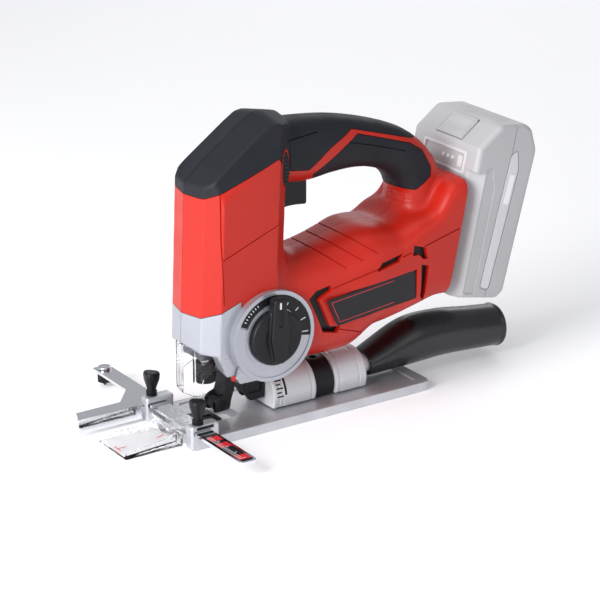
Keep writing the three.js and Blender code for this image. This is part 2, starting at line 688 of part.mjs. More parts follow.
const cradleBar = (x, length, radius) => rod([x, 0, TILT_AXIS_Z], [x + length, 0, TILT_AXIS_Z], radius, 28);
const aboveSole = box(-60, 80, -40, 40, SOLE_TOP + GAP, 60);
const PIVOT_RADIUS = 3.5;
function cradle(from, to, radius, wallFrom) {
  const arch = cut(cradleBar(from, to - from, radius), cradleBar(from - 1, to - from + 2, radius - 4.6));
  const wall = cradleBar(wallFrom, 4, radius - 2);
  const bore = rod([from - 2, 0, TILT_AXIS_Z], [to + 2, 0, TILT_AXIS_Z], PIVOT_RADIUS + GAP);
  return cut(join(arch, wall).intersect(aboveSole), bore);
}
add('front_cradle', cradle(-24, 9.4, CRADLE_RADIUS, -24), CRADLE_GREY);
const spigot = (inset, overrun) => loft([
  section(49 - overrun, 17, 0, 9.6, 6.6, 2.2, inset),
  section(63 + overrun, 17.6, 0, 9.6, 6.6, 2.2, inset),
]);
add('rear_cradle', cut(
  join(cradle(25, 50, CRADLE_RADIUS, 46), spigot(0, 0)),
  spigot(1.8, 3),
), CRADLE_GREY);
const screwWay = rod([TILT_SCREW_X, 0, 0], [TILT_SCREW_X, 0, 12], 2.5, 16);
add('cradle_centre', cradle(9.7, 24.7, CRADLE_RADIUS - 1.6, 15.2).subtract(screwWay), BLACK);
add('tilt_pin', rod([-34, 0, TILT_AXIS_Z], [24, 0, TILT_AXIS_Z], PIVOT_RADIUS), STEEL);
add('tilt_mount', cut(
  prismY([[-40.2, 35.7], [-40.2, 20], [-36, 12.2], [-24.5, 12.2], [-24.5, 35.7]], -6.8, 6.8),
  rod([-35, 0, TILT_AXIS_Z], [-20, 0, TILT_AXIS_Z], PIVOT_RADIUS + GAP),
), BLACK);
add('tilt_screw', join(
  rod([TILT_SCREW_X, 0, 0.8], [TILT_SCREW_X, 0, 4.1], 4.4, 20),
  rod([TILT_SCREW_X, 0, 3], [TILT_SCREW_X, 0, 9.9], 2.1, 16),
).subtract(rod([TILT_SCREW_X, 0, -1], [TILT_SCREW_X, 0, 2.4], 2.2, 6)), STEEL);

add('splinter_insert', cut(box(-75, -59.4, -9.2, 9.2, 1, 6.4), box(-76, -62, -1.5, 1.5, 0, 8)), BLACK);
add('view_plate', join(
  box(-138.6, -96.4, -22, 15, 0.8, 2.6),
  box(-138.6, -96.4, -22, -20, 0.8, 6),
  box(-138.6, -96.4, 13, 15, 0.8, 6),
  box(-98.4, -96.4, -22, 15, 0.8, 9.6),
  box(-97, -86, -8, 8, 1, 6),
), CLEAR);

function thumbScrew(y) {
  const profile = [
    [0, 13], [2, 13], [2, 16.9], [3.6, 16.9], [3.6, 20], [3.2, 21], [4.6, 27.5], [5, 31], [4.2, 33], [0, 33.4],
  ];
  const geometry = new THREE.LatheGeometry(profile.map(([r, z]) => new THREE.Vector2(r, z)), 12);
  geometry.applyMatrix4(new THREE.Matrix4().makeBasis(X_AXIS, Z_AXIS, BACK_Y));
  geometry.translate(THUMB_X, y, 0);
  return solid(geometry);
}
add('left_thumb_screw', thumbScrew(-THUMB_Y), BLACK);
add('right_thumb_screw', thumbScrew(THUMB_Y), BLACK);

// ---- Parallel guide ----

const PIN_Y = 95;
const pinX = (BAR_FRONT + BAR_REAR) / 2;
add('parallel_guide', cut(
  join(
    prismZ([
      [BAR_FRONT, -84], [BAR_FRONT + 4, -88], [BAR_REAR - 4, -88], [BAR_REAR, -84], [BAR_REAR, 101],
      [BAR_FRONT, 101],
    ], BAR_BOTTOM, BAR_TOP),
    prismZ([
      [-145.4, 26.5], [-98.4, 26.5], [-98.4, 38.5], [BAR_FRONT, 38.5], [BAR_FRONT + 1, 56], [-108, 41],
      [-145.4, 41],
    ], BAR_BOTTOM, BAR_TOP),
    box(-145.4, -98.4, 26.5, 28.5, 2.7, BAR_TOP),
  ),
  rod([pinX, PIN_Y, 0], [pinX, PIN_Y, 20], 2.1, 16),
), STEEL);
add('circle_pin', join(
  rod([pinX, PIN_Y, 12.9], [pinX, PIN_Y, 14.6], 4.6, 20, 3.8),
  rod([pinX, PIN_Y, 9], [pinX, PIN_Y, 13.4], 1.8, 16),
  rod([pinX, PIN_Y, 3.6], [pinX, PIN_Y, 10.3], 5, 20),
  rod([pinX, PIN_Y, 0.8], [pinX, PIN_Y, 4], 0.8, 16, 2.6),
), BLACK);

// ---- Dust tube ----

function tubeForm(inset, overrun) {
  return loft([
    section(57 - overrun, 17, 0, 13, 9.5, 2.2, inset, 16),
    section(68, 19.6, 0, 14.4, 12, 2.1, inset, 16),
    section(92, 24.6, 0, 16, 17, 2, inset, 16),
    section(122, 25.4, 0, 15.8, 17, 2, inset, 16),
    section(150, 22.8, 0, TUBE_RADIUS, 15.8, 2, inset, 16),
    section(TUBE_REAR + overrun, 20.8, 0, TUBE_RADIUS, TUBE_RADIUS, 2, inset, 16),
  ]);
}
add('dust_tube', tubeForm(0, 0).subtract(tubeForm(2, 2)), BLACK);

// ---- Battery, modelled upright and then leant back ----

// In the pack's own frame x is depth from its front face, and z runs up its length.
function lean(shape) {
  return shape.rotate([0, THREE.MathUtils.radToDeg(BATTERY_LEAN), 0]).translate([BATTERY_FOOT_X, 0, BATTERY_FOOT_Z]);
}

const NARROW_FROM = 86;           // above this height the pack's front narrows
const NARROW_HALF_WIDTH = 27;

function packForm(inset) {
  const foot = BATTERY_FOOT_DEPTH;
  const rear = BATTERY_TOP_DEPTH - inset;
  const top = BATTERY_LENGTH - inset;
  const side = prismY([
    [inset, 3 + inset], [3 + inset, inset], [foot - 5, inset], [foot - inset, 5 + inset],
    [rear, 104], [rear - 7.4, top - 3], [36, top], [15 + inset / 3, top - 2], [inset, 102.3 - inset / 3],
  ], -BATTERY_HALF_WIDTH + inset, BATTERY_HALF_WIDTH - inset);
  const corner = 5;
  const w = BATTERY_HALF_WIDTH - inset;
  const plan = prismZ([
    [-1, -w + 1.5], [1.5 + inset, -w], [BATTERY_FOOT_DEPTH - corner - inset, -w],
    [rear, -w + corner], [rear, w - corner],
    [BATTERY_FOOT_DEPTH - corner - inset, w], [1.5 + inset, w], [-1, w - 1.5],
  ], -10, 140);
  // A 45 degree bevel down each side of the front, as far in as the narrow half width.
  const offset = inset * Math.SQRT2;
  const bevel = (hand) => prismZ([
    [-10, hand * (NARROW_HALF_WIDTH - 10 - offset)], [20, hand * (NARROW_HALF_WIDTH + 20 - offset)],
    [20, hand * WIDE], [-10, hand * WIDE],
  ], NARROW_FROM - inset, 140);
  return cut(side.intersect(plan), bevel(1), bevel(-1));
}
const SEAM_DEPTH = 28;
const buttonPlace = (shape) => shape.rotate([0, -48, 0]).translate([7.5, 0, 110.6]);
const buttonPocket = buttonPlace(box(-9.3, 9.3, -14.3, 14.3, -6, 20));
const packShell = packForm(0).subtract(packForm(3.2));
add('battery_case', lean(cut(
  packShell.intersect(box(-10, SEAM_DEPTH - GAP / 2, -50, 50, -10, 140)),
  buttonPocket,
)), PACK);
add('battery_cover', lean(cut(
  packShell.intersect(box(SEAM_DEPTH + GAP / 2, 60, -50, 50, -10, 140)),
  buttonPocket,
)), PACK);
add('battery_release_button', lean(buttonPlace(box(-9, 9, -14, 14, -2.4, 1.6))), PACK);
const cells = [];
for (let i = 0; i < 5; i++) {
  const z = 13.6 + 18.7 * i;
  cells.push(rod([20, -32.5, z], [20, 32.5, z], 9.1, 14));
}
add('cell_block', lean(join(box(18, 22, -31, 31, 10, 92), ...cells)), LABEL);
add('battery_rails', lean(box(-2.8, -GAP, -25, 25, 14, 76)), BLACK);

export default group;
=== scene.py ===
import itertools
import math

import bmesh
import bpy
import numpy as np
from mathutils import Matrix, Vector


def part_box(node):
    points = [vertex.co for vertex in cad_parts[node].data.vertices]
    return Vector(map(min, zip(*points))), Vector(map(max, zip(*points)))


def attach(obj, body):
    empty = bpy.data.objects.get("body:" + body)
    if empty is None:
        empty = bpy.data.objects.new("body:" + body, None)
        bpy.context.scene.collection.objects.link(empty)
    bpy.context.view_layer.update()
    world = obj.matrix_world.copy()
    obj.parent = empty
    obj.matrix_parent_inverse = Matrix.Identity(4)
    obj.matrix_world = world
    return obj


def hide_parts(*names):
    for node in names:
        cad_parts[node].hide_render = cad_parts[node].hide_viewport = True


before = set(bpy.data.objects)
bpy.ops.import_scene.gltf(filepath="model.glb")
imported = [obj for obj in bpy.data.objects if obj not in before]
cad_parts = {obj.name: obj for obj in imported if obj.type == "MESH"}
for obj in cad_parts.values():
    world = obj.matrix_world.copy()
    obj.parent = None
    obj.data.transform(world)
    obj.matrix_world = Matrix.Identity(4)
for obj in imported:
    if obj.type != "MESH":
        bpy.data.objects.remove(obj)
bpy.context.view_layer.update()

# A cordless jigsaw. Lengths here are millimetres unless a line says otherwise, and meshes are made in metres.
# The blade end points to -X, the battery to +X, and the side with the dial is -Y.
MM = 0.001


def cad(node):
    """A node's lowest and highest corner in millimetres."""
    low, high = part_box(node)
    return [v / MM for v in low], [v / MM for v in high]


# ---------------------------------------------------------------- distance fields

def polygon(points, a, b):
    """Signed distance to a closed outline, negative inside."""
    nearest = np.inf
    sign = 1.0
    for (pa, pb), (qa, qb) in zip(points, points[1:] + points[:1]):
        ea, eb = pa - qa, pb - qb
        wa, wb = a - qa, b - qb
        along = np.clip((wa * ea + wb * eb) / (ea * ea + eb * eb), 0, 1)
        nearest = np.minimum(nearest, (wa - ea * along) ** 2 + (wb - eb * along) ** 2)
        above, under = b >= qb, b < pb
        left = ea * wb > eb * wa
        sign = sign * np.where((above & under & left) | (~above & ~under & ~left), -1.0, 1.0)
    return sign * np.sqrt(nearest)


def both(a, b, radius=0.0):
    """The solid inside both fields, its edges rounded to radius."""
    if not radius:
        return np.maximum(a, b)
    a, b = a + radius, b + radius
    return np.minimum(np.maximum(a, b), 0) + np.hypot(np.maximum(a, 0), np.maximum(b, 0)) - radius


def either(a, b, radius=0.0):
    """The solid inside either field, the corner between them filled to radius."""
    if not radius:
        return np.minimum(a, b)
    share = np.maximum(radius - np.abs(a - b), 0) / radius
    return np.minimum(a, b) - share * share * radius / 4


def without(a, b, radius=0.0):
    return both(a, -b, radius)


def slab(value, low, high):
    return np.maximum(low - value, value - high)


def block(x, y, z, low, high, radius):
    """A box with rounded edges."""
    sides = [slab(v, lo, hi) + radius for v, lo, hi in zip((x, y, z), low, high)]
    outside = sum(np.maximum(side, 0) ** 2 for side in sides)
    inside = np.minimum(np.maximum(np.maximum(sides[0], sides[1]), sides[2]), 0)
    return np.sqrt(outside) + inside - radius


def superellipse(across, up, half_across, half_up, power):
    """Roughly the distance to a rounded section, by its value over its slope."""
    a = np.abs(across) / half_across
    b = np.abs(up) / half_up
    value = (a ** power + b ** power) ** (1 / power) + 1e-6
    slope = np.hypot(a ** (power - 1) / half_across, b ** (power - 1) / half_up) * value ** (1 - power)
    return (value - 1) / np.maximum(slope, 1e-3)


def smooth(t, knots, values):
    """Values at t, on a smooth curve through the knots."""
    knots, values = np.asarray(knots, float), np.asarray(values, float)
    tangents = np.gradient(values, knots)
    i = np.clip(np.searchsorted(knots, t) - 1, 0, len(knots) - 2)
    span = knots[i + 1] - knots[i]
    u = np.clip((t - knots[i]) / span, 0, 1)
    return (
        (2 * u ** 3 - 3 * u ** 2 + 1) * values[i] + (u ** 3 - 2 * u ** 2 + u) * span * tangents[i]
        + (3 * u ** 2 - 2 * u ** 3) * values[i + 1] + (u ** 3 - u ** 2) * span * tangents[i + 1]
    )


def rectangle(a_low, b_low, a_high, b_high):
    return [(a_low, b_low), (a_high, b_low), (a_high, b_high), (a_low, b_high)]


def filleted(points, radius, steps=4):
    """An outline with each corner rounded to an arc."""
    made = []
    count = len(points)
    for i, point in enumerate(points):
        here = Vector(point)
        before = Vector(points[i - 1]) - here
        after = Vector(points[(i + 1) % count]) - here
        half = before.angle(after) / 2
        r = radius if np.isscalar(radius) else radius[i]
        back = min(r / math.tan(half), before.length * 0.45, after.length * 0.45)
        if back < 1e-3:
            made.append(tuple(here))
            continue
        start, end = here + before.normalized() * back, here + after.normalized() * back
        for k in range(steps + 1):
            u = k / steps
            made.append(tuple(start * (1 - u) ** 2 + here * 2 * u * (1 - u) + end * u * u))
    return made


# ---------------------------------------------------------------- meshes

CORNERS = list(itertools.product((0, 1), repeat=3))
CELL_EDGES = [(a, b) for a, b in itertools.combinations(range(8), 2)
              if sum(abs(p - q) for p, q in zip(CORNERS[a], CORNERS[b])) == 1]


def fill_pinches(values, rounds=8):
    """Fills a corner where two corners across a grid face are inside alone, so each edge has two faces."""
    for _ in range(rounds):
        pinched = 0
        for u, v in ((0, 1), (0, 2), (1, 2)):
            views = []
            for du, dv in ((0, 0), (1, 0), (0, 1), (1, 1)):
                part = [slice(None)] * 3
                part[u] = slice(1, None) if du else slice(0, -1)
                part[v] = slice(1, None) if dv else slice(0, -1)
                views.append(values[tuple(part)])
            a, b, c, d = [view < 0 for view in views]
            first, second = b & c & ~a & ~d, a & d & ~b & ~c
            views[0][first] = -1e-3
            views[1][second] = -1e-3
            pinched += int(first.sum() + second.sum())
        if not pinched:
            return


def surface(name, field, low, high, step, settle=2):
    """The closed surface where the field is zero, as quads: one point in each grid cell that it crosses."""
    axes = [np.arange(lo - 2 * step, hi + 3 * step, step) for lo, hi in zip(low, high)]
    shape = tuple(len(axis) for axis in axes)
    grid = np.meshgrid(*axes, indexing="ij", sparse=True)
    values = np.array(np.broadcast_to(field(*grid), shape), dtype=np.float32)
    fill_pinches(values)
    inside = values < 0
    cells = tuple(n - 1 for n in shape)
    count = sum(inside[i:i + cells[0], j:j + cells[1], k:k + cells[2]].astype(np.int8) for i, j, k in CORNERS)
    where = np.argwhere((count > 0) & (count < 8))
    number = np.full(cells, -1, np.int64)
    number[tuple(where.T)] = np.arange(len(where))

    at = [values[tuple((where + corner).T)] for corner in CORNERS]
    total, crossings = np.zeros((len(where), 3)), np.zeros(len(where))
    for a, b in CELL_EDGES:
        crossed = (at[a] < 0) != (at[b] < 0)
        part = np.where(crossed, at[a] / np.where(crossed, at[a] - at[b], 1), 0)
        start, end = np.array(CORNERS[a], float), np.array(CORNERS[b], float)
        total += crossed[:, None] * (start + part[:, None] * (end - start))
        crossings += crossed
    points = np.array([axis[0] for axis in axes]) + step * (where + total / crossings[:, None])

    for _ in range(settle):
        x, y, z = points.T
        value = field(x, y, z)
        d = 0.2 * step
        slope = np.stack([
            field(x + d, y, z) - field(x - d, y, z),
            field(x, y + d, z) - field(x, y - d, z),
            field(x, y, z + d) - field(x, y, z - d),
        ], axis=1) / (2 * d)
        move = -value[:, None] * slope / np.maximum((slope ** 2).sum(axis=1), 0.25)[:, None]
        points = points + np.clip(move, -0.5 * step, 0.5 * step)

    faces = []
    for axis in range(3):
        u, v = [k for k in range(3) if k != axis]
        first = [slice(1, -1)] * 3
        first[axis] = slice(0, -1)
        second = list(first)
        second[axis] = slice(1, None)
        start, end = inside[tuple(first)], inside[tuple(second)]
        crossed = np.argwhere(start != end)
        leaving = start[tuple(crossed.T)]
        base = crossed + [0 if k == axis else 1 for k in range(3)]
        quad = []
        for du, dv in ((-1, -1), (0, -1), (0, 0), (-1, 0)):
            cell = base.copy()
            cell[:, u] += du
            cell[:, v] += dv
            quad.append(number[tuple(cell.T)])
        quad = np.stack(quad, axis=1)
        flip = leaving if axis == 1 else ~leaving
        quad[flip] = quad[flip][:, ::-1]
        faces.append(quad)
    return mesh_object(name, points, np.concatenate(faces).tolist())


def mesh_object(name, points, faces):
    mesh = bpy.data.meshes.new(name)
    mesh.from_pydata((np.asarray(points, float) * MM).tolist(), [], faces)
    mesh.update()
    piece = bpy.data.objects.new(name, mesh)
    bpy.context.scene.collection.objects.link(piece)
    return piece


PLACES = {"y": lambda a, b, c: (a, c, b), "z": lambda a, b, c: (a, b, c), "x": lambda a, b, c: (c, a, b)}


def prism(name, points, low, high, axis="y"):
    """An outline pushed from low to high: (x, z) along y, (x, y) along z, or (y, z) along x."""
    place = PLACES[axis]
    count = len(points)
    verts = [place(a, b, low) for a, b in points] + [place(a, b, high) for a, b in points]
    faces = [tuple(range(count)), tuple(range(2 * count - 1, count - 1, -1))]
    faces += [(i, i + count, (i + 1) % count + count, (i + 1) % count) for i in range(count)]
    piece = mesh_object(name, verts, faces)
    work = bmesh.new()
    work.from_mesh(piece.data)
    bmesh.ops.recalc_face_normals(work, faces=work.faces)
    work.to_mesh(piece.data)
    work.free()
    return piece


def ring_points(radius, count, centre=(0, 0)):
    angles = [math.tau * i / count for i in range(count)]
    return [(centre[0] + radius * math.cos(a), centre[1] + radius * math.sin(a)) for a in angles]


def polygon_bar(name, points, width, low, high, axis="y"):
    """A band of a set width along a line of points, as a prism."""
    path = [Vector(p) for p in points]
    left, right = [], []
    for i, here in enumerate(path):
        ahead = (path[min(i + 1, len(path) - 1)] - path[max(i - 1, 0)]).normalized()
        side = Vector((-ahead.y, ahead.x)) * width / 2
        left.append(tuple(here + side))
        right.append(tuple(here - side))
    return prism(name, left + right[::-1], low, high, axis)


def bake(piece):
    """Applies the piece's modifiers to its mesh."""
    graph = bpy.context.evaluated_depsgraph_get()
    made = bpy.data.meshes.new_from_object(piece.evaluated_get(graph))
    piece.modifiers.clear()
    old = piece.data
    piece.data = made
    bpy.data.meshes.remove(old)
    return piece


def boolean(piece, other, operation, keep=False):
    modifier = piece.modifiers.new("boolean", "BOOLEAN")
    modifier.operation = operation
    modifier.object = other
    modifier.solver = "MANIFOLD"
    graph = bpy.context.evaluated_depsgraph_get()
    if not len(piece.evaluated_get(graph).data.polygons):
        modifier.solver = "EXACT"
    bake(piece)
    if not keep:
        bpy.data.objects.remove(other)
    return piece


def unite(piece, *others):
    for other in others:
        boolean(piece, other, "UNION")
    return piece


def carve(piece, *others, keep=False):
    for other in others:
        boolean(piece, other, "DIFFERENCE", keep)
    return piece


def copy_of(piece, name):
    other = bpy.data.objects.new(name, piece.data.copy())
    bpy.context.scene.collection.objects.link(other)
    return other


def shade(piece, angle=32):
    """Smooth shading that keeps edges sharper than the angle, in degrees."""
    mesh = piece.data
    mesh.polygons.foreach_set("use_smooth", [True] * len(mesh.polygons))
    mesh.set_sharp_from_angle(angle=math.radians(angle))
    return piece


def soften(piece, width, segments=2, angle=30):
    """Rounds the piece's edges with a bevel."""
    bevel = piece.modifiers.new("edges", "BEVEL")
    bevel.width = width * MM
    bevel.segments = segments
    bevel.limit_method = "ANGLE"
    bevel.angle_limit = math.radians(angle)
    bevel.use_clamp_overlap = True
    bevel.harden_normals = False
    return piece


def largest_part(piece):
    """Deletes all but the biggest connected piece of the mesh."""
    work = bmesh.new()
    work.from_mesh(piece.data)
    work.verts.ensure_lookup_table()
    seen, groups = set(), []
    for vert in work.verts:
        if vert in seen:
            continue
        stack, group = [vert], []
        seen.add(vert)
        while stack:
            here = stack.pop()
            group.append(here)
            for edge in here.link_edges:
                other = edge.other_vert(here)
                if other not in seen:
                    seen.add(other)
                    stack.append(other)
        groups.append(group)
    groups.sort(key=len)
    for group in groups[:-1]:
        bmesh.ops.delete(work, geom=group, context="VERTS")
    work.to_mesh(piece.data)
    work.free()
    return piece


def finish(piece, body, slot, look, *nodes):
    """Gives a made piece its body and look, and hides the CAD nodes that it stands for. The slot is not used.
    """
    piece.data.materials.clear()
    piece.data.materials.append(LOOK[look])
    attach(piece, body)
    if nodes:
        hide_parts(*nodes)
    return piece


# ---------------------------------------------------------------- materials

class Nodes:
    """A material's node tree, written by a few short calls."""

    def __init__(self, name, color, roughness, metallic=0.0, **sockets):
        self.name = name
        self.material = bpy.data.materials.new(f"{name}_look")
        self.material.use_nodes = True
        self.tree = self.material.node_tree
        self.shader = self.tree.nodes["Principled BSDF"]
        self.shader.inputs["Base Color"].default_value = (*color, 1)
        self.shader.inputs["Roughness"].default_value = roughness
        self.shader.inputs["Metallic"].default_value = metallic
        for socket, value in sockets.items():
            self.shader.inputs[socket.replace("_", " ")].default_value = value
        self.place = self.new("ShaderNodeTexCoord").outputs["Object"]
        self.color = color
        self.roughness = roughness

    def new(self, kind, **settings):
        node = self.tree.nodes.new(kind)
        for key, value in settings.items():
            setattr(node, key, value)
        return node

    def link(self, start, end):
        self.tree.links.new(start, end)

    def noise(self, scale, detail=2.0, stretch=None):
        """Noise whose blobs are about 1 / scale of a metre."""
        place = self.place
        if stretch:
            mapping = self.new("ShaderNodeMapping")
            mapping.inputs["Scale"].default_value = stretch
            self.link(place, mapping.inputs["Vector"])
            place = mapping.outputs["Vector"]
        noise = self.new("ShaderNodeTexNoise")
        noise.inputs["Scale"].default_value = scale
        noise.inputs["Detail"].default_value = detail
        self.link(place, noise.inputs["Vector"])
        return noise.outputs["Fac"]

    def spread(self, value, low, high, from_low=0.3, from_high=0.7):
        ramp = self.new("ShaderNodeMapRange")
        numbers = {"From Min": from_low, "From Max": from_high, "To Min": low, "To Max": high}
        for socket, number in numbers.items():
            ramp.inputs[socket].default_value = number
        self.link(value, ramp.inputs["Value"])
        return ramp.outputs["Result"]

    def math(self, operation, a, b=0.0):
        node = self.new("ShaderNodeMath", operation=operation)
        for socket, value in zip(node.inputs, (a, b)):
            if isinstance(value, (int, float)):
                socket.default_value = value
            else:
                self.link(value, socket)
        return node.outputs["Value"]

    def mix(self, share, first, second):
        node = self.new("ShaderNodeMix", data_type="RGBA")
        self.link(share, node.inputs["Factor"])
        for socket, value in ((node.inputs["A"], first), (node.inputs["B"], second)):
            if isinstance(value, tuple):
                socket.default_value = (*value, 1)
            else:
                self.link(value, socket)
        return node.outputs["Result"]

    def edges(self, width):
        """1 along edges that stick out, 0 on flat and hollow places."""
        rounded = self.new("ShaderNodeBevel", samples=4)
        rounded.inputs["Radius"].default_value = width * MM
        geometry = self.new("ShaderNodeNewGeometry")
        dot = self.new("ShaderNodeVectorMath", operation="DOT_PRODUCT")
        self.link(rounded.outputs["Normal"], dot.inputs[0])
        self.link(geometry.outputs["Normal"], dot.inputs[1])
        return self.spread(dot.outputs["Value"], 1.0, 0.0, 0.75, 0.98)

    def vary(self, amount, scale=25.0, detail=3.0):
        """Lets the colour drift a little over the surface."""
        darker = tuple(c * (1 - amount) for c in self.color)
        lighter = tuple(min(1.0, c * (1 + amount)) for c in self.color)
        self.tint = self.mix(self.spread(self.noise(scale, detail), 0.0, 1.0), darker, lighter)
        self.link(self.tint, self.shader.inputs["Base Color"])

    def wear(self, color, width, scale=220.0):
        """Edges rubbed to another colour, in patches."""
        patches = self.spread(self.noise(scale, 4.0), 0.0, 0.8, 0.5, 0.72)
        share = self.math("MULTIPLY", self.edges(width), patches)
        self.tint = self.mix(share, self.tint, color)
        self.link(self.tint, self.shader.inputs["Base Color"])

    def gloss(self, amount, scale=60.0, detail=4.0, stretch=None):
        low, high = self.roughness - amount, self.roughness + amount
        value = self.spread(self.noise(scale, detail, stretch), low, high)
        self.link(value, self.shader.inputs["Roughness"])

    def bump(self, height, depth, strength=1.0):
        """A bump of a depth in millimetres from a height between 0 and 1."""
        bump = self.new("ShaderNodeBump")
        bump.inputs["Strength"].default_value = strength
        bump.inputs["Distance"].default_value = depth * MM
        self.link(height, bump.inputs["Height"])
        self.link(bump.outputs["Normal"], self.shader.inputs["Normal"])


def moulded(name, color, roughness, grain, depth, drift, worn=None, **sockets):
    """Moulded plastic: fine grain and slow changes of gloss. Worn is the colour and width of rubbed edges."""
    n = Nodes(name, color, roughness, **sockets)
    n.vary(drift)
    n.gloss(0.06)
    n.bump(n.noise(grain, 3.0), depth)
    if worn:
        n.wear(*worn)
    return n


def metal(name, color, roughness, stretch=None, grain=900.0, depth=0.03, drift=0.08, metallic=1.0, **sockets):
    """Bare metal, brushed along the axis that stretch leaves short."""
    n = Nodes(name, color, roughness, metallic, **sockets)
    n.vary(drift, 60.0)
    n.gloss(0.09, 240.0, 5.0, stretch)
    n.bump(n.noise(grain, 4.0, stretch), depth)
    return n


def make_materials():
    clear = Nodes("clear_plastic", (0.985, 0.99, 1.0), 0.04, Transmission_Weight=1.0, IOR=1.2,
                  Specular_IOR_Level=0.8)
    clear.vary(0.02)
    clear.gloss(0.03, 40.0)
    clear.bump(clear.noise(60.0, 1.0), 0.05)
    dull = {"Specular_IOR_Level": 0.3}
    made = [
        clear,
        moulded("red_shell", (0.46, 0.012, 0.0035), 0.4, 2600.0, 0.02, 0.06, ((0.56, 0.04, 0.02), 0.4),
                Specular_IOR_Level=0.4),
        moulded("soft_grip", (0.008, 0.0095, 0.014), 0.58, 1500.0, 0.04, 0.18, ((0.04, 0.044, 0.052), 0.6),
                **dull),
        moulded("silver_cover", (0.43, 0.445, 0.49), 0.32, 3200.0, 0.012, 0.04, ((0.25, 0.26, 0.28), 0.4),
                Metallic=0.7),
        moulded("label_black", (0.008, 0.008, 0.011), 0.36, 1800.0, 0.006, 0.2, Specular_IOR_Level=0.35),
        moulded("black_plastic", (0.007, 0.007, 0.009), 0.44, 1700.0, 0.02, 0.2, **dull),
        moulded("knob_black", (0.007, 0.0075, 0.01), 0.46, 2200.0, 0.02, 0.2, **dull),
        moulded("tube_black", (0.006, 0.006, 0.0075), 0.3, 3000.0, 0.006, 0.2, Coat_Weight=0.15,
                Coat_Roughness=0.15),
        moulded("pack_grey", (0.42, 0.42, 0.435), 0.44, 2200.0, 0.02, 0.03),
        moulded("pack_light", (0.58, 0.58, 0.6), 0.4, 2200.0, 0.02, 0.03),
        moulded("cradle_grey", (0.62, 0.63, 0.66), 0.38, 1400.0, 0.03, 0.04, Metallic=0.1),
        moulded("red_lever", (0.42, 0.016, 0.012), 0.34, 2400.0, 0.02, 0.08),
        moulded("board", (0.02, 0.09, 0.03), 0.4, 900.0, 0.03, 0.15),
        moulded("cell_wrap", (0.02, 0.1, 0.3), 0.3, 300.0, 0.03, 0.1),
        moulded("print_white", (0.75, 0.76, 0.78), 0.4, 1500.0, 0.01, 0.04),
        moulded("print_red", (0.6, 0.02, 0.03), 0.4, 1500.0, 0.01, 0.08),
        moulded("print_black", (0.006, 0.006, 0.008), 0.4, 1500.0, 0.01, 0.1, **dull),
        moulded("nose_grey", (0.07, 0.075, 0.095), 0.4, 1800.0, 0.02, 0.15),
        metal("alloy", (0.6, 0.61, 0.64), 0.46, (1, 9, 9), 700.0, metallic=0.75),
        metal("steel", (0.6, 0.61, 0.63), 0.24, (1, 6, 6)),
        metal("chrome", (0.78, 0.79, 0.82), 0.1, (6, 1, 6), 500.0, 0.006, 0.03),
        metal("black_metal", (0.01, 0.01, 0.013), 0.4, None, 900.0, 0.03, 0.2, 0.3, Specular_IOR_Level=0.35),
        metal("bronze", (0.42, 0.29, 0.13), 0.4, None, 1400.0, 0.04),
        metal("copper", (0.6, 0.24, 0.1), 0.35, (8, 1, 1), 1200.0, 0.1),
    ]
    return {n.name: n.material for n in made}


LOOK = make_materials()


# ---------------------------------------------------------------- camera, light and floor

FLOOR_REACH = 9000


def make_camera():
    """At the viewing angle of the product picture: from the left front and a little above."""
    azimuth, elevation, distance = math.radians(-33.62), math.radians(20.265), 1.5134
    target = Vector((-4.6, -18.43, 79.99)) * MM
    level = math.cos(elevation)
    away = Vector((math.sin(azimuth) * level, -math.cos(azimuth) * level, math.sin(elevation)))
    camera = bpy.data.objects.new("camera", bpy.data.cameras.new("camera"))
    bpy.context.scene.collection.objects.link(camera)
    camera.location = target + away * distance
    camera.rotation_euler = away.to_track_quat("Z", "Y").to_euler()
    camera.data.sensor_width = 36
    camera.data.lens = 140.2
    camera.data.clip_end = 20
    bpy.context.scene.camera = camera


def make_light(name, place, size, power, color=(1, 1, 1), towards=(0, 0, 0.09)):
    light = bpy.data.lights.new(name, "AREA")
    light.shape = "RECTANGLE"
    light.size, light.size_y = size
    light.energy = power
    light.color = color
    lamp = bpy.data.objects.new(name, light)
    lamp.location = place
    lamp.rotation_euler = (Vector(place) - Vector(towards)).to_track_quat("Z", "Y").to_euler()
    bpy.context.scene.collection.objects.link(lamp)


def make_studio():
    world = bpy.data.worlds.new("studio")
    world.use_nodes = True
    world.node_tree.nodes["Background"].inputs["Color"].default_value = (0.95, 0.96, 1.0, 1)
    world.node_tree.nodes["Background"].inputs["Strength"].default_value = 0.48
    bpy.context.scene.world = world
    make_light("key_left", (-1.5, -0.35, 0.75), (0.9, 1.1), 36)
    make_light("fill_right", (0.5, -1.8, 0.9), (1.2, 0.9), 3)
    make_light("top", (-0.4, 0.1, 1.7), (1.4, 1.2), 5)
    make_light("rim_back", (1.1, 1.2, 0.8), (0.8, 0.8), 3)
    bpy.context.scene.view_settings.view_transform = "Standard"
    corners = rectangle(-FLOOR_REACH, -FLOOR_REACH, FLOOR_REACH, FLOOR_REACH)
    floor = mesh_object("floor", [(x, y, 0) for x, y in corners], [(0, 1, 2, 3)])
    paper = Nodes("floor_paper", (0.93, 0.93, 0.95), 0.75, Emission_Color=(1, 1, 1, 1),
                  Emission_Strength=0.12)
    paper.vary(0.01, 3.0)
    paper.gloss(0.05, 8.0)
    paper.bump(paper.noise(300.0, 3.0), 0.02)
    floor.data.materials.append(paper.material)


# ---------------------------------------------------------------- outer form of the tool

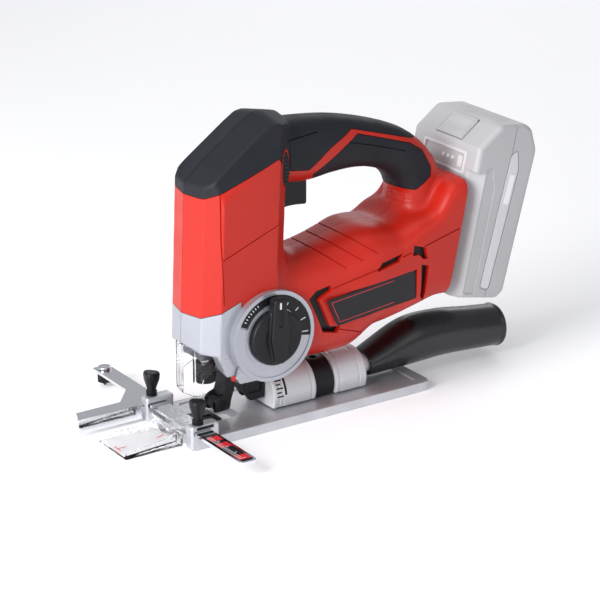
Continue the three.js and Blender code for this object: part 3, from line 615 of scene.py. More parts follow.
HEAD_FRONT = -84.1
HEAD_FOOT = 61.0
HEAD_LEAN = 0.0434               # the nose leans back by this much for each millimetre of height
HEAD_SIDE = 27.2                 # half width of the head
HEAD_PLAN = [
    (HEAD_FRONT, 0.0), (HEAD_FRONT + 4.1, -17.8), (HEAD_FRONT + 13.5, -HEAD_SIDE), (-30, -HEAD_SIDE),
    (-21, -20), (-17, -11), (-17, 11), (-21, 20),
    (-30, HEAD_SIDE), (HEAD_FRONT + 13.5, HEAD_SIDE), (HEAD_FRONT + 4.1, 17.8),
]
HEAD_OUTLINE = filleted([
    (-89, HEAD_FOOT), (-72, HEAD_FOOT), (-66, 47), (-43, 47), (-42, 36), (0, 36), (0, 202), (-23, 206),
    (-29, 205.4), (-38, 199.6), (-66, 179.4), (-79.4, 167.6), (-80.5, 166), (-89, 150),
], [0.1, 0.1, 2, 2, 0.1, 0.1, 0.1, 10, 10, 30, 60, 3, 2, 0.1])
SHOULDER_SLOPE = math.radians(34.5)
HEAD_PANEL = 20.5                # half width of the flat panel on the cap, at its lower end
HEAD_CROWN = 0.2                 # fall of the cap to either side of its seam

# Across the handle: x, z, tilt of the section in degrees, half width, half height.
HANDLE = [
    (-34, 178, 0, 17, 20), (-12, 178, 0, 19, 21.5), (8, 176.6, -2, 18, 22), (28, 176.4, -5, 17.4, 19.8),
    (46, 174.6, -10, 17, 17.6), (62, 171, -18, 17, 16.4), (77, 165, -30, 17.4, 16.4),
    (89, 155, -48, 18, 17.2), (96.5, 141, -70, 19.5, 18.5), (98, 120, -88, 22, 19),
]
# Across the motor barrel and the battery foot: x, bottom, top, half width, squareness.
BARREL = [
    (-44, 36, 108, 22, 2.3), (-20, 36, 110.5, 28, 2.4), (0, 36, 111.8, 31.5, 2.4),
    (20, 36, 115, 34.5, 2.4), (32, 38, 117.6, 36, 2.5), (48, 49.5, 120.6, 37, 2.8),
    (58, 52.6, 119.6, 37, 3.2), (66, 55.4, 118.4, 37, 3.6), (80, 61, 122.6, 37, 5),
    (94, 65.6, 128, 37, 6.6), (104, 66, 140, 37, 8), (124, 66, 146, 37, 8.4),
]
BATTERY_LEAN = math.radians(11.6)


def head(x, y, z):
    plan = polygon(HEAD_PLAN, x - HEAD_LEAN * (z - HEAD_FOOT), y)
    height = -(x + 100) * math.sin(SHOULDER_SLOPE) + (z - 156.8) * math.cos(SHOULDER_SLOPE)
    bevel = ((np.abs(y) - HEAD_PANEL) * 13 + height * 5.2) / 14.0
    crown = HEAD_CROWN * (np.sqrt(y * y + 4) - 2)
    return both(polygon(HEAD_OUTLINE, x, z + crown), both(plan, bevel, 1.0), 1.2)


def handle_line():
    """The handle's stations, evenly filled in between: x, z, direction and half sizes."""
    rows = np.array(HANDLE, float)
    t = np.linspace(0, len(rows) - 1, 73)
    return [smooth(t, np.arange(len(rows)), column) for column in rows.T]


HANDLE_LINE = handle_line()


def handle(x, y, z):
    sx, sz, tilt, half_width, half_height = HANDLE_LINE
    tilt = np.radians(tilt)
    x, z = np.broadcast_arrays(x, z)
    nearest = np.argmin((x[..., None] - sx) ** 2 + (z[..., None] - sz) ** 2, axis=-1)
    # The place between two stations, by the distance to the plane of each.
    near = np.clip(nearest, 1, len(sx) - 2)
    along = (x - sx[near]) * np.cos(tilt[near]) + (z - sz[near]) * np.sin(tilt[near])
    step = np.hypot(sx[near + 1] - sx[near], sz[near + 1] - sz[near])
    place = np.clip(near + along / step, 0, len(sx) - 1)
    stations = np.arange(len(sx))
    at = [np.interp(place, stations, row) for row in (sx, sz, tilt, half_width, half_height)]
    up = -(x - at[0]) * np.sin(at[2]) + (z - at[1]) * np.cos(at[2])
    beyond = (x - at[0]) * np.cos(at[2]) + (z - at[1]) * np.sin(at[2])
    return both(superellipse(y, up, at[3], at[4], 2.6), np.abs(beyond) - 1.0, 3)


def barrel(x, y, z):
    stations, bottom, top, half_width, power = np.array(BARREL, float).T
    low, high, wide, square = (smooth(x, stations, row) for row in (bottom, top, half_width, power))
    form = superellipse(y, z - (low + high) / 2, wide, (high - low) / 2, square)
    return both(form, slab(x, -44, 124), 2)


def rear_plane(x, z, clearance=0.0):
    return (x - 102.4 + clearance) * math.cos(BATTERY_LEAN) - (z - 66) * math.sin(BATTERY_LEAN)


def outer_form(x, y, z):
    lower = both(either(head(x, y, z), barrel(x, y, z), 14), 36.2 - z, 2)
    return both(either(lower, handle(x, y, z), 5), rear_plane(x, z), 1)


def inset(amount):
    return lambda x, y, z: outer_form(x, y, z) + amount


FORM_LOW, FORM_HIGH = (-86, -38.5, 35), (131, 38.5, 207)


# ---------------------------------------------------------------- shells, grips and nose cover

TOP_GRIP = [
    (-95, 162), (-76.6, 160.6), (-68, 164.6), (-26, 181), (-17, 170), (-12, 168.5), (4, 166), (20, 178),
    (38, 187.6), (62, 180.8), (88, 173), (98, 171), (98, 190), (60, 205), (0, 215), (-60, 215),
]
PALM_GRIP = [
    (42, 183.4), (60, 178), (84, 170.4), (94, 164), (100, 152), (99, 146), (88, 138.6), (78, 139.6),
    (66, 146), (30, 146), (22, 154), (16, 150), (12, 155), (8.6, 161.6),
]
GEAR_COVER = [(-95, 82), (-84.2, 81.8), (-79.6, 82), (-67, 87.2), (-55, 91.4), (-55, 30), (-95, 30)]
LABEL_PLATE = [(5, 82.5), (13.4, 63.6), (75.8, 70.6), (75.4, 90.4)]
SCREWS = [(22, 44), (92, 80), (-52, 152), (97, 120)]
DIAL = (-33.5, 65.5)
LOCK = (-17.6, 171.6)
SEAM = 0.45                      # gap between shells, wide enough to see
WIDE = 60                        # beyond the tool on either side
GROOVE_DEPTH = 0.8
SKIN = 2.6                       # thickness of the grips and covers that lie on the red shells
# The first depth is where the black sheet of painted shade in the vent recesses starts.
SHADE_SHEET_DEPTH, RECESS_DEPTH = 3.6, 4.2
WALL = 5.6                       # from the outside to the hollow in the shells
SCREW_HEAD, SCREW_HOLE = 3.6, 1.9
CAM_BORE = 5.3
LABEL_SEAT = 34.4


def grown(points, amount):
    """An outline with each corner moved out along the mean of its two edge normals."""
    turn = sum(x * points[(i + 1) % len(points)][1] - points[(i + 1) % len(points)][0] * z
               for i, (x, z) in enumerate(points))
    outward = math.copysign(1, turn)
    made = []
    for i, point in enumerate(points):
        here = Vector(point)
        first = (here - Vector(points[i - 1])).normalized()
        second = (Vector(points[(i + 1) % len(points)]) - here).normalized()
        mean = Vector((first.y + second.y, -first.x - second.x))
        made.append(tuple(here + mean * 2 * amount * outward / max(mean.length_squared, 0.6)))
    return made


def cylinder(name, centre, radius, low, high, axis="y", sides=64):
    return prism(name, ring_points(radius, sides, centre), low, high, axis)


def join(name, pieces):
    """Several closed meshes that don't meet, as one."""
    points, faces = [], []
    for piece in pieces:
        start = len(points)
        points += [tuple(v.co / MM) for v in piece.data.vertices]
        faces += [tuple(start + i for i in face.vertices) for face in piece.data.polygons]
        bpy.data.objects.remove(piece)
    return mesh_object(name, points, faces)


def oval(centre, half_x, half_z):
    angles = [math.tau * i / 40 for i in range(40)]
    return [(centre[0] + half_x * math.cos(a), centre[1] + half_z * math.sin(a)) for a in angles]

# Thin grooves on both flanks of the motor barrel, the head and the grips.
GROOVES = [
    ([(-9, 124.5), (-5.6, 122.3), (9, 111), (23.8, 99.6)], 0.9),
    ([(3, 127), (6.9, 124.2), (21, 113.6), (35.7, 102.7)], 0.9),
    ([(15, 129.2), (19.5, 126), (33, 116), (46.9, 106)], 0.9),
    ([(-68.2, 165), (-68.6, 132), (-67.6, 92)], 0.7),
    ([(-68.8, 121), (-25.5, 138.1)], 0.7),
    ([(12, 61.3), (30, 55.5), (46, 49)], 0.8),
    ([(10.5, 88.4), (30, 93), (46, 96.8)], 1.1),
    ([(64.5, 101.3), (71.5, 103)], 1.1),
    ([(81.5, 105.6), (101, 110.6), (110, 112.9)], 1.1),
]
# Outlines of the panels on the two grips.
GRIP_LINES = [
    ([(10.9, 189.7), (-12.6, 188.3), (-11.9, 169.4)], 0.7),
    ([(30, 180.5), (56, 173.6), (80, 166)], 0.7),
]
# Deep vent recesses round the label panel; make_shells lines their bottom with a black sheet as painted
# shade.
RECESSES = [
    [(10.5, 91), (0, 88.6), (-5.4, 84), (4.8, 59.4), (16, 57), (17.2, 62), (9.6, 63.2), (1.6, 82.4),
     (11, 87.4)],
    [(44, 94.6), (48, 100), (64.6, 103.6), (62, 98.6)],
    [(72, 100.6), (73.6, 107.4), (82.6, 104.6), (84.4, 96.4), (80.6, 96.8), (77.4, 100.2)],
    [(79.2, 93.4), (85.4, 91.4), (82.6, 66.6), (79.2, 71)],
]


def line_bars(lines):
    return [polygon_bar("line", points, width, -WIDE, WIDE) for points, width in lines]


def make_shells():
    fine = 1.0
    outer = surface("outer", outer_form, FORM_LOW, FORM_HIGH, fine)
    shallow = surface("shallow", inset(GROOVE_DEPTH), FORM_LOW, FORM_HIGH, 1.6)
    under = surface("under", inset(SKIN), FORM_LOW, FORM_HIGH, 1.8)
    inner = surface("inner", inset(WALL), FORM_LOW, FORM_HIGH, 2.8)
    lock_hole = prism("lock_hole", oval(LOCK, 3.9, 11.5), -30, -8)
    trigger_hole = prism("trigger_hole", rectangle(-11.3, 128, 8.9, 168.6), -7.8, 7.8)
    well = prism("well", filleted(rectangle(-77.6, -16.4, -53.6, 16.4), 4), 28, 62, "z")
    slot = prism("slot", rectangle(-58, -8.4, -34, 8.4), 28, 52, "z")
    seat = cylinder("seat", DIAL, 31.0, -WIDE, -29.2)
    half = {
        "left": prism("left_half", rectangle(-200, 0, 200, 250), -WIDE, -SEAM / 3),
        "right": prism("right_half", rectangle(-200, 0, 200, 250), SEAM / 3, WIDE),
    }

    red = copy_of(outer, "red")
    for outline in (TOP_GRIP, PALM_GRIP, GEAR_COVER):
        carve(red, prism("zone", grown(outline, SEAM), -WIDE, WIDE))
    boolean(red, under, "UNION", keep=True)
    rim = boolean(prism("rim", oval(LOCK, 5.0, 12.9), -WIDE, -5), outer, "INTERSECT", keep=True)
    unite(red, rim)
    floor = surface("floor", inset(RECESS_DEPTH), FORM_LOW, FORM_HIGH, 2.4)
    deep = join("deep", [prism("recess", points, -WIDE, WIDE) for points in RECESSES])
    carve(deep, floor)
    carve(red, deep, keep=True)
    lines = join("lines", line_bars(GROOVES))
    carve(lines, shallow, keep=True)
    carve(red, lines)
    carve(red, inner)
    unite(red, cylinder("dial_boss", DIAL, 29.0, -29.1, -24))
    carve(red, seat, lock_hole, trigger_hole, well, slot, keep=True)
    carve(red, cylinder("cam_bore", DIAL, CAM_BORE, -40, 0))
    carve(red, cylinder("plunger_bore", (-66, 0), 5.2, 30, 163, "z", 32))
    carve(red, prism("lead_way", rectangle(96, 84, 140, 124), -14, 14))
    for low, high in ((-WIDE, -LABEL_SEAT), (LABEL_SEAT, WIDE)):
        carve(red, prism("label_hole", grown(LABEL_PLATE, 0.4), low, high))
    for spot in SCREWS:
        head_hole = cylinder("head_hole", spot, SCREW_HEAD, 12, WIDE, sides=32)
        carve(red, head_hole, cylinder("hole", spot, SCREW_HOLE, 4, 13, sides=24))

    # A thin black sheet at the bottom of each vent recess, in print_black: painted shade standing in for the
    # dark inside of the vents.
    painted_shade_top = surface("painted_shade_top", inset(SHADE_SHEET_DEPTH), FORM_LOW, FORM_HIGH, 2.4)
    vent_painted_shade = boolean(deep, painted_shade_top, "INTERSECT")
    for side, cutter in half.items():
        painted_shade_sheet = boolean(copy_of(vent_painted_shade, f"{side}_vents"), cutter, "INTERSECT", keep=True)
        finish(shade(painted_shade_sheet), "housing", "black_plastic", "print_black")
    bpy.data.objects.remove(vent_painted_shade)

    for side, cutter in half.items():
        shell = boolean(copy_of(red, f"{side}_shell"), cutter, "INTERSECT", keep=True)
        finish(shade(largest_part(shell)), "housing", "red_shell", "red_shell", f"{side}_housing")
    bpy.data.objects.remove(red)

    grip_lines = join("grip_lines", line_bars(GRIP_LINES))
    carve(outer, carve(grip_lines, shallow, keep=True))
    bpy.data.objects.remove(shallow)
    layer = carve(outer, under, keep=True)
    skins = (
        ("top_grip", TOP_GRIP, "soft_grip", [trigger_hole]),
        ("palm_grip", PALM_GRIP, "soft_grip", [trigger_hole]),
        ("gear_cover", GEAR_COVER, "silver_cover", [seat, well]),
    )
    for kind, outline, look, holes in skins:
        zone = boolean(prism("zone", outline, -WIDE, WIDE), layer, "INTERSECT", keep=True)
        carve(zone, *holes, keep=True)
        if kind == "top_grip":
            carve(zone, prism("rim", oval(LOCK, 5.4, 13.1), -WIDE, 0))
        for side, cutter in half.items():
            skin = boolean(copy_of(zone, f"{side}_{kind}_skin"), cutter, "INTERSECT", keep=True)
            finish(shade(largest_part(skin)), "housing", look, look, f"{side}_{kind}")
        bpy.data.objects.remove(zone)
    for tool in (layer, under, lock_hole, trigger_hole, well, slot, seat, *half.values()):
        bpy.data.objects.remove(tool)


# ---------------------------------------------------------------- label plates, dial and selector

def make_labels():
    outline = filleted(LABEL_PLATE, 1.2)
    for side, low, high, face in (("left", -35.9, -34.7, -36.0), ("right", 34.7, 35.9, 35.8)):
        plate = soften(shade(prism(f"{side}_label", outline, low, high)), 0.3)
        finish(plate, "housing", "label_black", "label_black", f"{side}_label_plate")
        rim = grown(LABEL_PLATE, -2.2)
        line = prism(f"{side}_label_line", rim, face, face + 0.2)
        carve(line, prism("hole", grown(LABEL_PLATE, -2.6), -WIDE, WIDE))
        carve(line, prism("gap", rectangle(58, 60, 90, 95), -WIDE, WIDE))
        finish(line, "housing", "label_black", "print_red")


def around(radius, angle, centre=DIAL):
    """A point on a circle round the dial, by its angle in degrees from +X towards +Z."""
    angle = math.radians(angle)
    return centre[0] + radius * math.cos(angle), centre[1] + radius * math.sin(angle)


def sector(inner, outer, start, end, steps=28):
    angles = [start + (end - start) * i / steps for i in range(steps + 1)]
    return [around(outer, a) for a in angles] + [around(inner, a) for a in reversed(angles)]


DIAL_RADIUS = 30.5
KNOB_RADIUS = 18.6
DISH_RADIUS, DISH_CENTRE = 28.4, 27.2    # the ball that dishes the knob's face, and how far out it lies
POINTER_TIP = 27.4


def make_dial():
    low, high = cad("dial_plate")
    face = low[1]
    plate = cylinder("dial_ring", DIAL, DIAL_RADIUS, face + 0.5, high[1], sides=96)
    rim = cylinder("rim", DIAL, DIAL_RADIUS, face - 1.0, face + 1.0, sides=96)
    carve(rim, cylinder("rim_hole", DIAL, DIAL_RADIUS - 2.6, -WIDE, WIDE, sides=96))
    unite(plate, rim)
    skirt = cylinder("skirt", DIAL, 30.4, face + 1.5, -25.8, sides=96)
    carve(skirt, cylinder("skirt_hole", DIAL, 29.3, -WIDE, 0, sides=96))
    unite(plate, skirt)
    # The cover runs down to a flat foot below the dial.
    chin = prism("chin", filleted([DIAL, (-57.4, 52.3), (-60.3, 41), (-58.8, 37.6), (-22, 36.8), (-4.5, 49)],
                                  [0.1, 2, 2, 2, 4, 4]), face + 0.9, high[1] + 1.5)
    carve(chin, cylinder("chin_gap", DIAL, 29.8, -WIDE, 0))
    unite(plate, chin)
    unite(plate, prism("collar", sector(19.2, 21.6, 98, 262), face - 1.0, face + 1.0))
    unite(plate, prism("quadrant", sector(18.9, 29.4, 158, 350), face - 0.4, face + 1.0))
    carve(plate, cylinder("bore", DIAL, CAM_BORE, -WIDE, 0))
    finish(soften(shade(plate), 0.35), "housing", "silver_cover", "silver_cover", "dial_plate")

    scale = prism("dial_scale", sector(19.2, 27.7, -24, 156, 40), face - 0.1, face + 0.45)
    carve(scale, prism("collar_gap", sector(18.0, 21.9, 96, 264), -WIDE, 0))
    finish(soften(shade(scale), 0.15), "housing", "label_black", "print_black")
    marks = [(62 - 22 * i, 21.6, 23.4 + 1.0 * i) for i in range(4)]
    strokes = [polygon_bar("mark", [around(start, angle), around(end, angle)], 0.7, face - 0.3, face)
               for angle, start, end in marks]
    strokes += [polygon_bar("mark", [around(24.4, angle), around(25.8, angle)], 0.6, face - 0.3, face)
                for angle in range(118, 150, 5)]
    finish(join("dial_marks", strokes), "housing", "silver_cover", "print_white")
    stop = polygon_bar("dial_stop_mark", [around(20.4, -15), around(26.6, -17)], 0.8, face - 0.3, face)
    finish(stop, "housing", "red_lever", "print_red")


def make_knob():
    low, high = cad("selector_knob")
    front, back = low[1], high[1]
    disc = front + 3.6

    def knob(x, y, z):
        u, v = x - DIAL[0], z - DIAL[1]
        radius = np.hypot(u, v)
        body = both(radius - KNOB_RADIUS, slab(y, disc, back), 1.6)
        body = without(body, np.hypot(radius, y - disc + DISH_CENTRE) - DISH_RADIUS, 0.8)
        half_width = np.interp(v, [-17, 0, POINTER_TIP], [3.4, 6.6, 4.2])
        pointer = both(np.abs(u) - half_width, slab(v, -16.5, POINTER_TIP), 2.2)
        pointer = both(pointer, slab(y, front, back - 1.0), 1.2)
        body = either(body, pointer, 1.2)
        notch = both(both(np.abs(u) - 1.5, slab(v, 8.5, 25.2), 0.6), y - front - 0.7)
        return without(body, notch, 0.2)

    near, far = (DIAL[0] - 19, front - 0.5, DIAL[1] - 19), (DIAL[0] + 19, back + 0.5, DIAL[1] + 28)
    piece = surface("knob", knob, near, far, 0.45)
    finish(shade(piece, 40), "selector", "knob_black", "knob_black", "selector_knob")
    mark = filleted(rectangle(DIAL[0] - 0.7, DIAL[1] + 20.5, DIAL[0] + 0.7, DIAL[1] + 25), 0.4)
    white = prism("pointer_mark", mark, front + 0.4, front + 1.2)
    finish(white, "selector", "knob_black", "print_white")


# ---------------------------------------------------------------- trigger and lock button

def make_switches():
    low, high = cad("trigger")

    def trigger(x, y, z):
        body = block(x, y, z, low, high, 2.2)
        finger = np.hypot((x + 3.5) / 1.6, z - (low[2] - 15.2)) - 16.4
        return without(body, finger, 1.6)

    piece = surface("trigger_lever", trigger, low, high, 0.6)
    finish(shade(piece, 40), "trigger", "black_plastic", "black_plastic", "trigger")

    low, high = cad("lock_button")
    middle = [(a + b) / 2 for a, b in zip(low, high)]
    half_x, half_z = (high[0] - low[0]) / 2, (high[2] - low[2]) / 2

    def button(x, y, z):
        outline = superellipse(x - middle[0], z - middle[2], half_x, half_z, 2.2)
        up = z - middle[2]
        ribs = 0.35 * np.maximum(0, np.cos(up * math.tau / 2.6)) * (np.abs(up) < half_z - 3)
        return both(outline, slab(y, low[1] + ribs, high[1]), 1.2)

    piece = surface("lock_pad", button, low, high, 0.45)
    finish(shade(piece, 40), "lock_button", "black_plastic", "black_plastic", "lock_button")


# ---------------------------------------------------------------- thumb screws

def make_thumb_screws():
    for side in ("left", "right"):
        low, high = cad(f"{side}_thumb_screw")
        cx, cy = (low[0] + high[0]) / 2, (low[1] + high[1]) / 2

        def screw(x, y, z, cx=cx, cy=cy, foot=low[2], top=high[2]):
            radius = np.hypot(x - cx, y - cy)
            turn = np.arctan2(y - cy, x - cx)
            heights = [foot, foot + 3.8, foot + 4.0, foot + 7.2, foot + 8.0, foot + 14.5, foot + 17.6, top]
            widths = [2.0, 2.0, 3.3, 3.3, 2.9, 5.0, 5.4, 5.0]
            lobes = np.clip((z - foot - 8) / 6, 0, 1) * 0.5 * np.cos(3 * turn + 0.6)
            rings = 0.45 * np.cos((z - foot) * math.tau / 1.35) * ((z > foot + 4) & (z < foot + 8))
            body = radius - np.interp(z, heights, widths) - lobes - rings
            crown = z - top + 0.06 * (x - cx) + 0.35
            return both(both(body, crown, 1.5), foot - z, 0.3)

        near, far = (cx - 6, cy - 6, low[2]), (cx + 6, cy + 6, high[2] + 0.5)
        piece = surface(f"{side}_screw_head", screw, near, far, 0.4)
        node = f"{side}_thumb_screw"
        finish(shade(piece, 45), node, "knob_black", "knob_black", node)


# ---------------------------------------------------------------- shoe

TILT_SCREW_X = 17.2


def make_sole():
    low, high = cad("sole_plate")
    side, top = high[1], 6.7
    blocks = [(-96, -75.5, s * 24, s * side) for s in (-1, 1)]

    def sole(x, y, z):
        plan = polygon(filleted(rectangle(-92.8, -side, high[0], side), [1, 7, 7, 1]), x, y)
        body = both(plan, slab(z, 0, top), 0.6)
        for x0, x1, ya, yb in blocks:
            lump = block(x, y, z, (x0, min(ya, yb), 0), (x1, max(ya, yb), 16.5), 1.6)
            body = either(body, lump, 1.0)
        # A raised rail along each edge, and a shallow channel inside it.
        channel = both(both(np.abs(y) - 26.6, slab(x, -72, 84), 3), top - 0.8 - z)
        body = without(body, channel, 0.3)
        slot = both(np.abs(y) - 9.5, x + 46, 2.5)
        slot = both(slot, -100 - x)
        body = without(body, slot, 0.4)
        bar_way = both(slab(x, -94.6, -81.6), slab(z, 10.3, 12.9))
        return without(body, bar_way, 0.2)

    piece = surface("sole", sole, low, high, 0.75)
    for y in (-29, 29):
        carve(piece, cylinder("screw_hole", (-89.6, y), 2.3, 11, 20, "z", 24))
    carve(piece, cylinder("tilt_hole", (TILT_SCREW_X, 0), 2.5, -1, 10, "z", 24),
          cylinder("tilt_seat", (TILT_SCREW_X, 0), 4.8, -1, 4.4, "z", 32))
    window = filleted(rectangle(-92.4, 13.5, -79.6, 15.7), 0.6)
    carve(piece, prism("left_window", window, -side - 1, -side + 0.8),
          prism("right_window", window, side - 0.8, side + 1))
    finish(shade(piece), "shoe", "alloy", "alloy", "sole_plate")
    window = prism("window_fill", grown(window, -0.15), -side + 0.3, -side + 0.7)
    finish(window, "shoe", "black_plastic", "print_black")


def make_cradle():
    axis_z, radius = 14.0, 17.5
    spout_z = 17.3
    parts = (
        ("front_cradle", 0.0, -24, (-19.8, -17.0, 6.0), "cradle_grey"),
        ("rear_cradle", 0.0, 46, (28.5, 44.0), "cradle_grey"),
        ("cradle_centre", 1.6, 15.2, (), "black_plastic"),
    )
    for node, less, wall_from, groove_at, look in parts:
        low, high = cad(node)
        outer = radius - less
        from_x, to_x = low[0], min(high[0], 50.0)

        def shell(x, y, z):
            around_axis = np.hypot(y, z - axis_z)
            barrel_form = both(around_axis - outer, slab(x, from_x, to_x), 1.0)
            for gx in groove_at:
                barrel_form = without(barrel_form, np.hypot(around_axis - outer, x - gx) - 0.5, 0.2)
            hollow = both(around_axis - (outer - 4.6), slab(x, from_x - 5, to_x + 5))
            wall = both(around_axis - outer + 2, slab(x, wall_from, wall_from + 4))
            form = either(without(barrel_form, hollow, 0.3), wall)
            if node == "rear_cradle":
                spout = superellipse(y, z - spout_z, 9.6, 6.6, 2.2)
                form = either(form, both(spout, slab(x, 49, 63), 0.5))
                bore = superellipse(y, z - spout_z, 7.8, 4.8, 2.2)
                form = without(form, both(bore, slab(x, 45, 70)), 0.2)
            form = without(form, both(around_axis - 3.8, slab(x, -40, 70)), 0.2)
            if node == "cradle_centre":
                form = without(form, np.hypot(x - TILT_SCREW_X, y) - 2.5, 0.2)
            return both(form, 7.0 - z, 0.5)

        piece = surface(f"{node}_shell", shell, low, high, 0.7)
        finish(shade(piece), "shoe", look, look, node)

    # A bevel scale on the front barrel: a dark arc with short ticks, and a screw dot on top.
    def strip(angles, start, end):
        """A thin curved patch on the barrel, over the angles and from start to end along it."""
        rim = [(a, radius + 0.12) for a in angles] + [(a, radius - 0.5) for a in reversed(angles)]
        outline = [around(distance, a, (0.0, axis_z)) for a, distance in rim]
        return prism("strip", outline, start, end, "x")

    arcs = [strip(list(range(112, 176, 3)), -15.6, -14.0)]
    arcs += [strip([a, a + 3], -21.6, -16.6 if a % 2 else -18.0) for a in range(112, 176, 9)]
    finish(join("bevel_scale", arcs), "shoe", "black_plastic", "print_black")
    dot = prism("bevel_dot", ring_points(1.5, 24, (0.5, -7)), axis_z + 15.0, axis_z + 16.6, "z")
    finish(soften(shade(dot), 0.15), "shoe", "steel", "steel")


# ---------------------------------------------------------------- parallel guide

def make_guide():
    low, _ = cad("parallel_guide")
    bottom, top = 10.6, 12.6
    plate = filleted(rectangle(-94.2, -88, -82, 101), [3.4, 3.4, 1.5, 1.5])
    bar = prism("guide_bar", plate, bottom, top, "z")
    arm_outline = [(low[0], 26.5), (-94.4, 26.5), (-93.4, 30), (-93.4, 56), (-108, 38.6), (-141, 38.0)]
    arm = prism("arm", arm_outline, bottom, top, "z")
    unite(bar, arm)
    fence = prism("fence", rectangle(26.5, 2.7, 28.5, top), low[0], -98.4, "x")
    unite(bar, fence)
    carve(bar, cylinder("pin_hole", (-88.1, 95), 2.1, 0, 20, "z", 24))
    finish(soften(shade(bar), 0.35), "guide", "chrome", "chrome", "parallel_guide")

    # The printed scale: a black field, three red patches and white ticks, each a little above the last.
    under, over = top - 0.1, top + 0.12
    band = prism("scale_black", filleted(rectangle(-92.4, -86.0, -83.8, -42.0), 1.4), under, over, "z")
    finish(band, "guide", "black_plastic", "print_black")
    patches = [prism("patch", rectangle(-92.2, y, -84.0, y + 7.0), under, over + 0.08, "z")
               for y in (-83.5, -61.5, -50.5)]
    finish(join("scale_red", patches), "guide", "red_lever", "print_red")
    ticks = []
    for i, y in enumerate(np.arange(-82.0, -43.0, 2.0)):
        length = 3.2 if i % 5 else 5.0
        ticks.append(prism("tick", rectangle(-92.2, y, -92.2 + length, y + 0.4), under, over + 0.16, "z"))
    finish(join("scale_ticks", ticks), "guide", "chrome", "print_white")


def make_circle_pin():
    low, high = cad("circle_pin")
    cx, cy = (low[0] + high[0]) / 2, (low[1] + high[1]) / 2

    def pin(x, y, z):
        radius = np.hypot(x - cx, y - cy)
        turn = np.arctan2(y - cy, x - cx)
        knurl = 0.22 * np.cos(24 * turn)
        lower = both(radius - 4.7 - knurl, slab(z, 3.6, 10.2), 0.6)
        neck = both(radius - 1.8, slab(z, 3, 13.6))
        tip = both(radius - np.interp(z, [low[2], 4.2], [0.5, 2.6]), slab(z, low[2], 4.2), 0.2)
        return either(either(lower, neck), tip)

    piece = surface("pin_body", pin, (cx - 5, cy - 5, low[2]), (cx + 5, cy + 5, 13.6), 0.4)
    finish(shade(piece, 50), "guide", "knob_black", "knob_black", "circle_pin")
    cap = cylinder("pin_cap", (cx, cy), 4.6, 12.85, high[2], "z", 40)
    finish(soften(shade(cap), 0.7, 3), "guide", "chrome", "chrome")


# ---------------------------------------------------------------- clear parts

GUARD_SIDE = [(-90, 26.9), (-76, 26.9), (-75, 38), (-61, 44), (-61, 58.8), (-71, 58.8), (-72.4, 60.4),
             (-90, 60.4)]


def make_guard():
    low, high = cad("clear_guard")

    def wall(x, y, z, less):
        taper = np.interp(z, [27, 56], [12, 16]) - less
        front = low[0] + less
        plan = [(front, 0), (front + 2.4, -11 + less), (front + 6.6, -16 + less), (-50 + less, -16 + less),
                (-50 + less, 16 - less), (front + 6.6, 16 - less), (front + 2.4, 11 - less)]
        return both(polygon(plan, x, y), np.abs(y) - taper, 1.5)

    def guard(x, y, z):
        side = polygon(GUARD_SIDE, x, z)
        form = both(without(wall(x, y, z, 0), wall(x, y, z, 1.7)), side, 0.5)
        ribs = both(both(np.abs(np.abs(y) - 9.5) - 0.8, x + 79), slab(x, low[0], -70))
        return either(form, both(both(ribs, side), wall(x, y, z, 0.2)))

    piece = surface("guard", guard, low, high, 0.6)
    finish(shade(piece), "housing", "clear_plastic", "clear_plastic", "clear_guard")


def make_view_plate():
    low, high = cad("view_plate")
    front, rear = low[0], -96.4
    left, right = low[1], high[1]

    def plate(x, y, z):
        form = block(x, y, z, (front, left, 0.8), (rear, right, 2.6), 0.8)
        # Two ribs that run together towards the front, as on the moulded original.
        for y0, y1 in ((left + 1.0, left + 5.5), (right - 1.0, right - 5.5)):
            middle = np.interp(x, [front, rear], [y0, y1])
            top = np.interp(x, [front, -108, rear], [4.4, 6.0, 9.2])
            rib = both(both(np.abs(y - middle) - 1.0, slab(x, front + 1, rear)), slab(z, 1, top), 0.5)
            form = either(form, rib, 0.8)
        form = either(form, block(x, y, z, (-98.4, left, 0.8), (rear, right, 9.6), 0.8), 0.8)
        return either(form, block(x, y, z, (-97, -8, 1), (-86, 8, 6), 0.8), 0.5)

    piece = surface("plate_clear", plate, low, high, 0.6)
    finish(shade(piece), "shoe", "clear_plastic", "clear_plastic", "view_plate")
    marks = [
        polygon_bar("mark", [(-106.0, -5.4), (-100.4, -3.4)], 0.9, 2.5, 2.75, "z"),
        polygon_bar("mark", [(front + 3, -10), (front + 3, -3)], 0.7, 2.5, 2.75, "z"),
        polygon_bar("mark", [(front + 3.6, -6.6), (front + 9, -6.6)], 0.7, 2.5, 2.75, "z"),
    ]
    finish(join("cut_marks", marks), "shoe", "red_lever", "print_red")


# ---------------------------------------------------------------- dust tube

# Along the tube: x, height of the middle, half width, half height.
TUBE = [
    (57, 17, 13, 9.5), (68, 19.6, 14.4, 12), (92, 24.6, 16, 17), (122, 25.4, 15.8, 17),
    (150, 22.8, 15.3, 15.8), (171, 20.8, 15.3, 15.3),
]


def make_tube():
    stations, middle, wide, tall = np.array(TUBE, float).T
    low, high = cad("dust_tube")

    def tube(x, y, z):
        at, half_width, half_height = (smooth(x, stations, row) for row in (middle, wide, tall))
        outside = superellipse(y, z - at, half_width, half_height, 2.1)
        inside = superellipse(y, z - at, half_width - 2.6, half_height - 2.6, 2.1)
        lip = 0.6 * np.exp(-((x - 169.2) / 1.2) ** 2)
        form = both(outside + 0.6 - lip, slab(x, stations[0], high[0]), 0.5)
        return without(form, inside, 0.5)

    piece = surface("tube", tube, low, high, 0.7)
    finish(shade(piece), "dust_tube", "tube_black", "tube_black", "dust_tube")


# ---------------------------------------------------------------- battery

